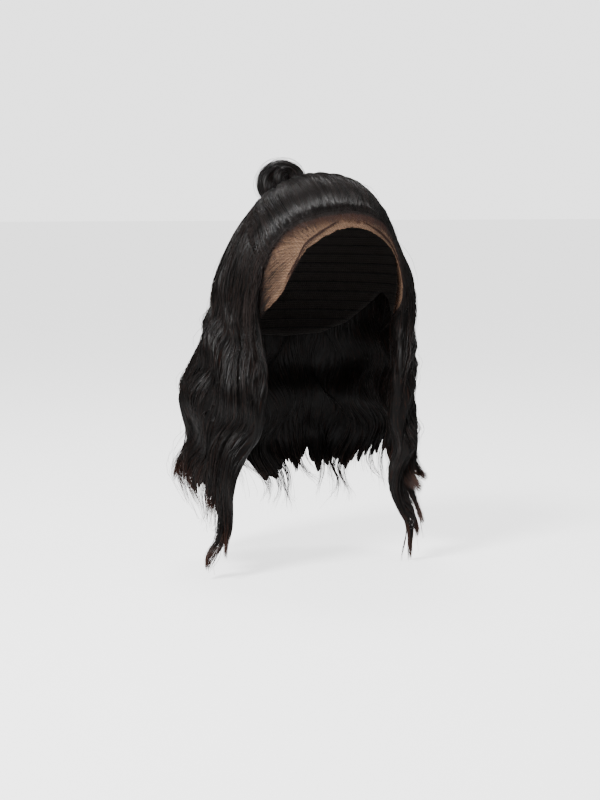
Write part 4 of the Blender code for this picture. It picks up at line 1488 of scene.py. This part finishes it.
class Rope:
    """A rope of hair along a path: its rings' middles, axes and radii."""

    def __init__(self, middles, radii, twist, grooves):
        self.middles = middles
        self.radii = radii
        self.twist = twist
        self.grooves = grooves
        tangents = unit(np.gradient(middles, axis=0))
        axis = unit(np.cross(tangents[0], np.array(ROPE_AXIS)))
        first = []
        for tangent in tangents:
            axis = unit(axis - tangent * np.dot(axis, tangent))
            first.append(axis)
        self.first = np.array(first)
        self.second = np.cross(tangents, self.first)

    def points(self, way, angle, lift):
        """Points on the rope's grooved skin; way 0 to 1 along it, angle in radians."""
        turned = angle + self.twist * way
        groove = ridges(angle * self.grooves / FULL_TURN, 0.7)
        fine = ridges(angle * self.grooves * 4.0 / FULL_TURN + 2.0 * way, 0.8)
        place = np.clip(way, 0.0, 1.0)
        zeros = np.zeros_like(place)
        middle, first, second = (
            sampled(np.stack((values, values)), zeros, place)
            for values in (self.middles, self.first, self.second)
        )
        radius = np.interp(place, np.linspace(0.0, 1.0, len(self.radii)), self.radii)
        reach = radius * (ROPE_BODY + ROPE_GROOVES * groove + ROPE_FINE * fine) + lift
        ring = first * np.cos(turned)[..., None] + second * np.sin(turned)[..., None]
        return middle + ring * reach[..., None]


def rope_grid(rope):
    """Closed skin of a rope: its rings, with a pole at each end."""
    angles = np.arange(ROPE_SIDES) * (FULL_TURN / ROPE_SIDES)
    way, angle = full_grid(np.linspace(0.0, 1.0, ROPE_RINGS), angles)
    skin = rope.points(way, angle, 0.0 * way)
    index = np.arange(ROPE_RINGS * ROPE_SIDES).reshape(ROPE_RINGS, ROPE_SIDES)
    after = np.roll(index, -1, axis=1)
    quads = np.stack((index[:-1], after[:-1], after[1:], index[1:]), axis=-1).reshape(-1, 4)
    poles = np.array((rope.middles[0], rope.middles[-1]))
    foot = np.full(ROPE_SIDES, index.size)
    caps = np.concatenate((
        np.stack((after[0], index[0], foot), axis=-1),
        np.stack((index[-1], after[-1], foot + 1), axis=-1),
    ))
    flow = np.stack((angle * rope.radii.max(), way * ROPE_FLOW, 0.0 * way), axis=-1).reshape(-1, 3)
    return np.concatenate((skin.reshape(-1, 3), poles)), quads, caps, np.vstack((flow, flow[:1], flow[-1:]))


def in_frame(points, axes):
    return points @ axes[:3, :3].T + axes[:3, 3]


def build_knot(wig):
    knot = wig.knot
    axes = knot_frame(wig)
    shares = np.linspace(0.0, 1.0, ROPE_RINGS)
    loop_turns = np.linspace(-LOOP_HALF_TURN, LOOP_HALF_TURN, ROPE_RINGS)
    coil_turns = np.linspace(COIL_START, COIL_END, ROPE_RINGS)
    ends = ROPE_END + (1.0 - ROPE_END) * smooth(np.minimum(shares, 1.0 - shares) / ROPE_END_SHARE)
    core_side = np.full(ROPE_RINGS, knot.side_shift)
    core_back = (CORE_LENGTH * shares + CORE_START) * knot.rope
    core = np.stack((core_side, core_back, np.full(ROPE_RINGS, knot_levels(wig)[2])), axis=-1)
    ropes = (
        Rope(loop_path(wig, loop_turns), knot.rope * ends, 2.4, 9),
        Rope(coil_path(wig, coil_turns, -1.0), knot.coil_rope * ends, 2.0, 8),
        Rope(coil_path(wig, coil_turns, 1.0), knot.coil_rope * ends, -2.0, 8),
        Rope(stem_path(wig, shares), stem_radii(wig, shares), 0.5, 11),
        Rope(core, np.full(ROPE_RINGS, KNOT_CORE * knot.radius), 0.6, 8),
    )
    grids = [rope_grid(rope) for rope in ropes]
    offsets = np.cumsum([0] + [len(grid[0]) for grid in grids[:-1]])
    skin = in_frame(np.concatenate([grid[0] for grid in grids]), axes)
    quads = np.concatenate([grid[1] + offset for grid, offset in zip(grids, offsets)])
    caps = np.concatenate([grid[2] + offset for grid, offset in zip(grids, offsets)])
    piece = mesh_object("coiled_knot", skin, quads, caps)
    set_attribute(piece, "flow", np.concatenate([grid[3] for grid in grids]))
    set_attribute(piece, "along", np.full(len(skin), KNOT_ALONG))
    dress_mass(piece, wig.hair, "top_knot")
    dress_strands(knot_strands(wig, ropes[:4], axes, np.random.default_rng(wig.seed + 2)), wig.hair)


def knot_strands(wig, ropes, axes, random):
    draw = Draws(random, KNOT_STRANDS)
    t = stops_along(STOPS)
    paths = []
    for rope in ropes:
        start = draw.even(*KNOT_START)
        way = np.clip(start + draw.even(*KNOT_RUN) * t, 0.0, 1.0)
        angle = draw.even(0.0, FULL_TURN)
        angle = angle + draw.bell(0.30) * np.sin(3.0 * t)
        off = KNOT_STRAY * draw.even(0.0, 1.0) ** KNOT_STRAY_POWER
        lift = (draw.even(*KNOT_OVER) + off) * np.sin(math.pi * t) ** 0.6 - KNOT_DIP
        paths.append(rope.points(way, angle, lift))
    paths = in_frame(np.concatenate(paths), axes)
    width = KNOT_STRAND_WIDTH * wig.hair.strand_width
    return strand_tubes("knot_strands", paths, width, KNOT_ALONG, random)


def build_tie(wig):
    knot = wig.knot
    bpy.ops.object.select_all(action="DESELECT")
    bpy.ops.mesh.primitive_torus_add(
        major_segments=TIE_SEGMENTS,
        minor_segments=TIE_SIDES,
        major_radius=knot.stem_radius + knot.tie_wire + GAP,
        minor_radius=knot.tie_wire,
    )
    piece = bpy.context.object
    piece.name = "elastic_tie"
    level = knot_levels(wig)[1]
    piece.data.transform(Matrix(knot_frame(wig).tolist()) @ Matrix.Translation((0.0, 0.0, level)))
    piece.data.shade_smooth()
    dress(piece, shared_material("covered_elastic", elastic_material), "elastic", "hair_tie")


# Fine hair: sparse roots along the hairline, laid baby hair, wisps and flyaways

HAIRLINE_ROOTS = 1300
HAIRLINE_STOPS = 5
TEMPLE_ROOTS = 700
TEMPLE_STOPS = 7
SECTION_STRANDS = 560
SECTION_LEG = 7
SECTION_SMOOTHING = 8
BABY_STRANDS = 60
BABY_STOPS = 20
BABY_SAMPLES = 60
WISP_STRANDS = 300
FLYAWAY_STRANDS = 400

# Widths of fine strands and their height over the lace
FINE_WIDTH = 0.00026
TEMPLE_WIDTH = 0.00022
SECTION_WIDTH = 0.00036
WISP_WIDTH = 0.00040
OVER_LACE = 0.0009
OVER_ROOTS = 0.0006
BABY_OVER = 0.0010

# Roots at the temples: angles from the crown, and how they turn down and back into the falls
TEMPLE_POLARS = (50.0, 99.0)
TEMPLE_REACH = 0.92
TEMPLE_TURN = (0.6, 1.6)
TEMPLE_BACK = 15.0
TEMPLE_DOWN = 13.0
TEMPLE_UP = 11.0
FALLING = (54.0, 70.0)

# Flyaways
# Columns: share of them, longest run, farthest off the hair
FALL_FLYAWAYS = (0.72, 0.30, 0.0075)
CROWN_FLYAWAYS = (0.28, 0.55, 0.0040)


def hairline_roots(wig, random):
    """Sparse roots in the lace just in front of the dense hair, swept back into it."""
    draw = Draws(random, HAIRLINE_ROOTS)
    t = stops_along(HAIRLINE_STOPS)
    place = draw.spread(-1.0, 1.0)
    bearing = place * TEMPLE_BEARING
    hairline = directions(bearing, table_value(HAIRLINE, np.abs(bearing)))
    swing = place + draw.bell(0.05) * (1.0 - t)
    end = stem_directions(wig.cap, wig.knot, swing * QUARTER)
    start = -0.15 * draw.even(0.0, 1.0) ** 1.5
    way = start + (draw.even(-0.004, 0.03) - start) * t
    units = slerp(hairline, end, way)
    share, lift = crown_relief(place, way)
    bulk = wig.hair.crown_thickness * table_value(SWEEP_BULK, way)
    over_hair = wig.hair.lift + bulk * share + lift + OVER_ROOTS
    height = OVER_LACE + (over_hair - OVER_LACE) * ramp(way, -0.03, 0.02)
    arch = draw.even(0.0, 0.0016) * np.sin(math.pi * t)
    paths = head_points(wig.cap, units, height + arch)
    along = 1.05 - 0.75 * ramp(way, -0.045, 0.015)
    return strand_tubes("hairline_roots", paths, FINE_WIDTH, along, random)


def temple_roots(wig, random):
    """Sparse roots in the lace before the ears, flowing back and down into the falls."""
    draw = Draws(random, TEMPLE_ROOTS)
    t = stops_along(TEMPLE_STOPS)
    side = draw.sides()
    polar = draw.even(*TEMPLE_POLARS)
    hair_bearing = table_place(SIDE_HAIRLINE, polar)
    ahead = draw.even(0.0, 1.0) ** 1.5
    bearing = hair_bearing + 1.0 - (hair_bearing - table_place(LACE_EDGE, polar)) * TEMPLE_REACH * ahead
    falling = ramp(polar, *FALLING)
    turned = draw.even(*TEMPLE_TURN)
    lower = polar + (TEMPLE_DOWN * falling * turned - TEMPLE_UP * (1.0 - falling))
    start = directions(side * bearing, polar)
    units = unit(slerp(start, directions(side * (bearing + TEMPLE_BACK * turned), lower), t))
    wave = np.sin(FULL_TURN * (draw.even(0.4, 1.1) * t + draw.even(0.0, 1.0)))
    units = unit(units + 0.006 * (wave * t)[..., None] * np.array((0.0, 0.3, 1.0)))
    height = OVER_LACE + draw.even(0.001, 0.0045) * smooth(t / 0.8)
    paths = head_points(wig.cap, units, height)
    return strand_tubes("temple_roots", paths, TEMPLE_WIDTH, 1.0 - 0.7 * smooth(t / 0.5), random)


def section_strands(wig, falls, crown, random):
    """Hairs that leave the swept hair at its lower edge and join the falls under it."""
    draw = Draws(random, SECTION_STRANDS)
    t = stops_along(SECTION_LEG)
    side = draw.sides()
    border = draw.even(0.02, 0.95)
    borders = [row[0] for row in GUIDES]
    guide_border = np.where(side < 0.0, border, BORDER_END - border)
    fall_place = np.interp(guide_border, borders, np.arange(len(GUIDES)))
    inset = draw.even(0.02, 0.22)
    place = side * (1.0 - inset * (1.0 - t) ** 1.4)
    way = np.clip(border - draw.even(0.05, 0.30) * (1.0 - t), 0.0, 1.0)
    share, lift = crown_relief(np.clip(np.abs(place), 0.0, 0.97) * side, way)
    over = draw.even(0.0004, 0.0018)
    first = crown.points(place, way, share, lift + over * t)
    down = 0.035 + draw.even(0.10, 0.38) * t
    aside = draw.bell(0.06) * np.sin(3.0 * t)
    at = np.clip(fall_place + aside, falls.first, falls.last)
    outer, _, lift = fall_faces(falls, np.clip(at, 0.12, falls.last - 0.12), down)
    second = falls.points(at, down, outer, lift + 0.0004 + over * (1.0 - t))
    paths = np.concatenate((first, second), axis=1)
    for _ in range(SECTION_SMOOTHING):
        paths[:, 1:-1] = 0.25 * paths[:, :-2] + 0.5 * paths[:, 1:-1] + 0.25 * paths[:, 2:]
    along = np.concatenate((0.3 * way, down), axis=1)
    return strand_tubes("section_strands", paths, SECTION_WIDTH, along, random)


def baby_hair(wig, random):
    """Gelled locks laid along the lace's edge on both sides of the middle."""
    draw = Draws(random, BABY_STRANDS)
    steps = np.linspace(0.0, len(BABY_LINE) - 1.0, BABY_SAMPLES)
    line = np.array([catmull(BABY_LINE, step) for step in steps])
    side = draw.sides()
    t = stops_along(BABY_STOPS)
    start = draw.even(0.0, 0.45) ** 1.2
    end = np.minimum(1.0, start + draw.even(0.30, 0.75))
    way = start + (end - start) * t
    shape = 0.25 + 0.75 * smooth(way / 0.3) * smooth((1.05 - way) / 0.4)
    off = draw.bell(0.62) * shape + 0.35 * np.sin(9.0 * way + 1.0)
    off = off + draw.bell(0.5) * (t - 0.5) ** 2
    index = way * (BABY_SAMPLES - 1.0)
    bearing = np.interp(index, np.arange(BABY_SAMPLES), line[:, 0])
    polar = np.interp(index, np.arange(BABY_SAMPLES), line[:, 1])
    units = directions(side * (bearing + 0.5 * off), polar - off)
    lift = BABY_OVER + draw.even(0.0, 0.0009) * np.sin(math.pi * t)
    return strand_tubes("baby_hair", head_points(wig.cap, units, lift), FINE_WIDTH, 0.2, random)


def temple_wisps(field, random):
    """Loose wavy hairs that cross the front edges of the falls at the temples."""
    draw = Draws(random, WISP_STRANDS)
    t = stops_along(STOPS)
    side = draw.sides()
    inset = draw.even(0.0, 0.5)
    start = draw.even(0.0, 0.30)
    down = start + draw.even(0.10, 0.30) * t
    place = np.where(side < 0.0, field.first + inset, field.last - inset) + 0.0 * t
    way = down * hair_reach(place)
    outer, inner, lift = fall_faces(field, place, way)
    depth = draw.even(0.2, 1.0)
    turns = FULL_TURN * draw.even(0.5, 1.4) * t + draw.even(0.0, ANY_PHASE)
    size = draw.even(0.0, 1.0) ** 2
    drift = side * 0.010 * size * np.sin(math.pi * t) + 0.0030 * np.sin(turns)
    rise = lift * depth + 0.0022 + 0.0030 * size * np.cos(turns) * np.sin(math.pi * t)
    paths = field.points(place, way, inner + (outer - inner) * depth, rise, drift)
    return strand_tubes("temple_wisps", paths, WISP_WIDTH, 0.2, random)


def flyaways(falls, crown, random):
    """Stray hairs that stand off the falls and the crown."""
    t = stops_along(STOPS)
    paths = []
    downs = []
    for field, row in ((falls, FALL_FLYAWAYS), (crown, CROWN_FLYAWAYS)):
        share_of_all, reach, height = row
        draw = Draws(random, int(FLYAWAY_STRANDS * share_of_all))
        place = draw.even(field.first, field.last)
        start = draw.even(0.0, 0.88)
        down = np.minimum(start + draw.even(0.08, reach) * t, 0.99)
        aside = draw.bell(0.03 * (field.last - field.first) / LAST_GUIDE)
        place = np.clip(place + aside * np.sin(4.0 * t + start * 20.0), field.first, field.last)
        way = down * hair_reach(place) if field is falls else down
        share, lift = (fall_relief if field is falls else crown_relief)(place, way)
        off = height * draw.even(0.0, 1.0) ** 2
        wavy = 0.0015 * np.sin(7.0 * t + start * 30.0)
        rise = lift + 0.0008 + off * np.sin(math.pi * np.clip(t * 0.85, 0.0, 1.0)) + wavy * t
        paths.append(field.points(place, way, share, rise, draw.bell(0.004) * t))
        downs.append(down)
    return strand_tubes("flyaway_hair", np.concatenate(paths), FINE_WIDTH, np.concatenate(downs), random)


def build_fine_hair(wig):
    random = np.random.default_rng(wig.seed + 4)
    hair = wig.hair
    falls = fall_field(wig)
    crown = crown_field(wig)
    dress_strands(hairline_roots(wig, random), hair, "fine_hair")
    dress_strands(temple_roots(wig, random), hair, "fine_hair")
    dress_strands(baby_hair(wig, random), hair, "baby_strand")
    dress_strands(section_strands(wig, falls, crown, random), hair, "fine_hair")
    dress_strands(curled_ends(wig, falls, random), hair)
    dress_strands(temple_wisps(falls, random), hair)
    dress_strands(flyaways(falls, crown, random), hair)


# Stage: floor, light and the camera at the photograph's angle

VIEW_SIDE = -0.021
VIEW_DROP = 0.208
FLOOR_SIZE = 60.0
FLOOR_BELOW = 0.004
FLOOR_GLOW = 2.1
FLOOR_DARK = (0.86, 0.86, 0.86)
FLOOR_PALE = (0.90, 0.90, 0.90)
WHITE = (1.0, 1.0, 1.0)

# Strength of the white world as light and to the camera
WORLD_LIGHT = 0.14
WORLD_SEEN = 2.6
LIGHT_COLUMNS = ("name", "azimuth", "elevation", "distance", "size", "power")
LIGHTS = (
    ("key", -60.0, 46.0, 1.9, 0.50, 60.0),
    ("fill", 72.0, 24.0, 2.4, 0.8, 9.0),
    ("top", 165.0, 62.0, 1.8, 0.6, 16.0),
)


def view_direction(azimuth, elevation):
    level = math.cos(elevation)
    return Vector((math.sin(azimuth) * level, -math.cos(azimuth) * level, math.sin(elevation)))


def aim_at(piece, target):
    """Turns a light or camera towards a point."""
    piece.rotation_euler = (target - piece.location).to_track_quat("-Z", "Y").to_euler()


def pale_material():
    material, nodes, shader = new_material("pale_floor")
    place = nodes.add("ShaderNodeTexCoord").outputs["Object"]
    seen = nodes.add("ShaderNodeLightPath").outputs["Is Camera Ray"]
    nodes.feed(shader, {
        "Base Color": nodes.mix(nodes.noise(place, 30.0, 3.0), opaque(FLOOR_DARK), opaque(FLOOR_PALE)),
        "Emission Strength": nodes.spread(seen, 0.0, FLOOR_GLOW),
        "Emission Color": opaque(WHITE),
        "Roughness": 0.8,
        "Specular IOR Level": 0.2,
    })
    return material


def pale_world():
    """White to the camera, dimmer as light."""
    world = bpy.data.worlds.new("studio")
    bpy.context.scene.world = world
    world.use_nodes = True
    nodes = Nodes(world.node_tree)
    seen = nodes.add("ShaderNodeLightPath").outputs["Is Camera Ray"]
    strength = nodes.spread(seen, WORLD_LIGHT, WORLD_SEEN)
    nodes.feed(world.node_tree.nodes["Background"], {"Color": opaque(WHITE), "Strength": strength})


def build_stage(wig):
    stage = wig.stage
    right = Vector((math.cos(stage.azimuth), math.sin(stage.azimuth), 0.0))
    aim = right * VIEW_SIDE - Vector((0.0, 0.0, VIEW_DROP))
    bpy.ops.object.select_all(action="DESELECT")
    level = CAD_BOX[0][2] - FLOOR_BELOW
    bpy.ops.mesh.primitive_plane_add(size=FLOOR_SIZE, location=(0.0, 0.0, level))
    floor = bpy.context.object
    floor.name = "floor"
    floor.data.materials.append(pale_material())
    for row in LIGHTS:
        light = dict(zip(LIGHT_COLUMNS, row))
        towards = view_direction(math.radians(light["azimuth"]), math.radians(light["elevation"]))
        bpy.ops.object.light_add(type="AREA", location=aim + towards * light["distance"])
        lamp = bpy.context.object
        lamp.name = light["name"]
        lamp.data.shape = "DISK"
        lamp.data.size = light["size"]
        lamp.data.energy = light["power"]
        aim_at(lamp, aim)
    place = aim + view_direction(stage.azimuth, stage.elevation) * stage.distance
    bpy.ops.object.camera_add(location=place)
    camera = bpy.context.object
    camera.data.lens = stage.lens
    aim_at(camera, aim)
    bpy.context.scene.camera = camera
    pale_world()


# Operators, panel and registration

class BuildStep:
    """Runs one building function on the scene's wig."""

    def execute(self, context):
        self.build(context.scene.wig)
        return {"FINISHED"}


class WIG_OT_build_stage(BuildStep, Operator):
    """Floor, lights and camera"""
    bl_idname = "wig.build_stage"
    bl_label = "Build Stage"
    build = staticmethod(build_stage)


class WIG_OT_build_cap(BuildStep, Operator):
    """Stretch cap behind the lace"""
    bl_idname = "wig.build_cap"
    bl_label = "Build Cap"
    build = staticmethod(build_cap)


class WIG_OT_build_lace(BuildStep, Operator):
    """Sheer lace panel from the seam to its cut edge over the forehead"""
    bl_idname = "wig.build_lace"
    bl_label = "Build Lace"
    build = staticmethod(build_lace)


class WIG_OT_build_crown(BuildStep, Operator):
    """Hair swept from the hairline back to the knot"""
    bl_idname = "wig.build_crown"
    bl_label = "Build Crown Hair"
    build = staticmethod(build_crown)


class WIG_OT_build_knot(BuildStep, Operator):
    """Coiled knot with its stem"""
    bl_idname = "wig.build_knot"
    bl_label = "Build Knot"
    build = staticmethod(build_knot)


class WIG_OT_build_tie(BuildStep, Operator):
    """Elastic that holds the stem"""
    bl_idname = "wig.build_tie"
    bl_label = "Build Tie"
    build = staticmethod(build_tie)


class WIG_OT_build_falls(BuildStep, Operator):
    """Loose wavy falls in locks, round both sides and the back"""
    bl_idname = "wig.build_falls"
    bl_label = "Build Falls"
    build = staticmethod(build_falls)


class WIG_OT_build_fine_hair(BuildStep, Operator):
    """Hairline roots, laid baby hair, curled ends, temple wisps and flyaways"""
    bl_idname = "wig.build_fine_hair"
    bl_label = "Build Fine Hair"
    build = staticmethod(build_fine_hair)


OPERATORS = (
    WIG_OT_build_stage,
    WIG_OT_build_cap,
    WIG_OT_build_lace,
    WIG_OT_build_crown,
    WIG_OT_build_knot,
    WIG_OT_build_tie,
    WIG_OT_build_falls,
    WIG_OT_build_fine_hair,
)


class WIG_PT_panel(Panel):
    """Sizes, colours and pieces of the wig"""
    bl_idname = "WIG_PT_panel"
    bl_label = "Lace Front Wig"
    bl_space_type = "VIEW_3D"
    bl_region_type = "UI"
    bl_category = "Wig"

    def draw(self, context):
        wig = context.scene.wig
        for part in (wig.cap, wig.hair, wig.knot, wig.stage):
            box = self.layout.box()
            for name in part.__annotations__:
                box.prop(part, name)
        self.layout.prop(wig, "seed")
        for operator in OPERATORS:
            self.layout.operator(operator.bl_idname)


SETTINGS = (CapSettings, HairSettings, KnotSettings, StageSettings, WigSettings)
CLASSES = SETTINGS + OPERATORS + (WIG_PT_panel,)


def register():
    for item in CLASSES:
        bpy.utils.register_class(item)
    bpy.types.Scene.wig = PointerProperty(type=WigSettings)


def unregister():
    del bpy.types.Scene.wig
    for item in reversed(CLASSES):
        bpy.utils.unregister_class(item)


def main():
    register()
    bpy.ops.wig.build_stage()
    bpy.ops.wig.build_cap()
    bpy.ops.wig.build_lace()
    bpy.ops.wig.build_crown()
    bpy.ops.wig.build_knot()
    bpy.ops.wig.build_tie()
    bpy.ops.wig.build_falls()
    bpy.ops.wig.build_fine_hair()


if __name__ == "__main__":
    main()
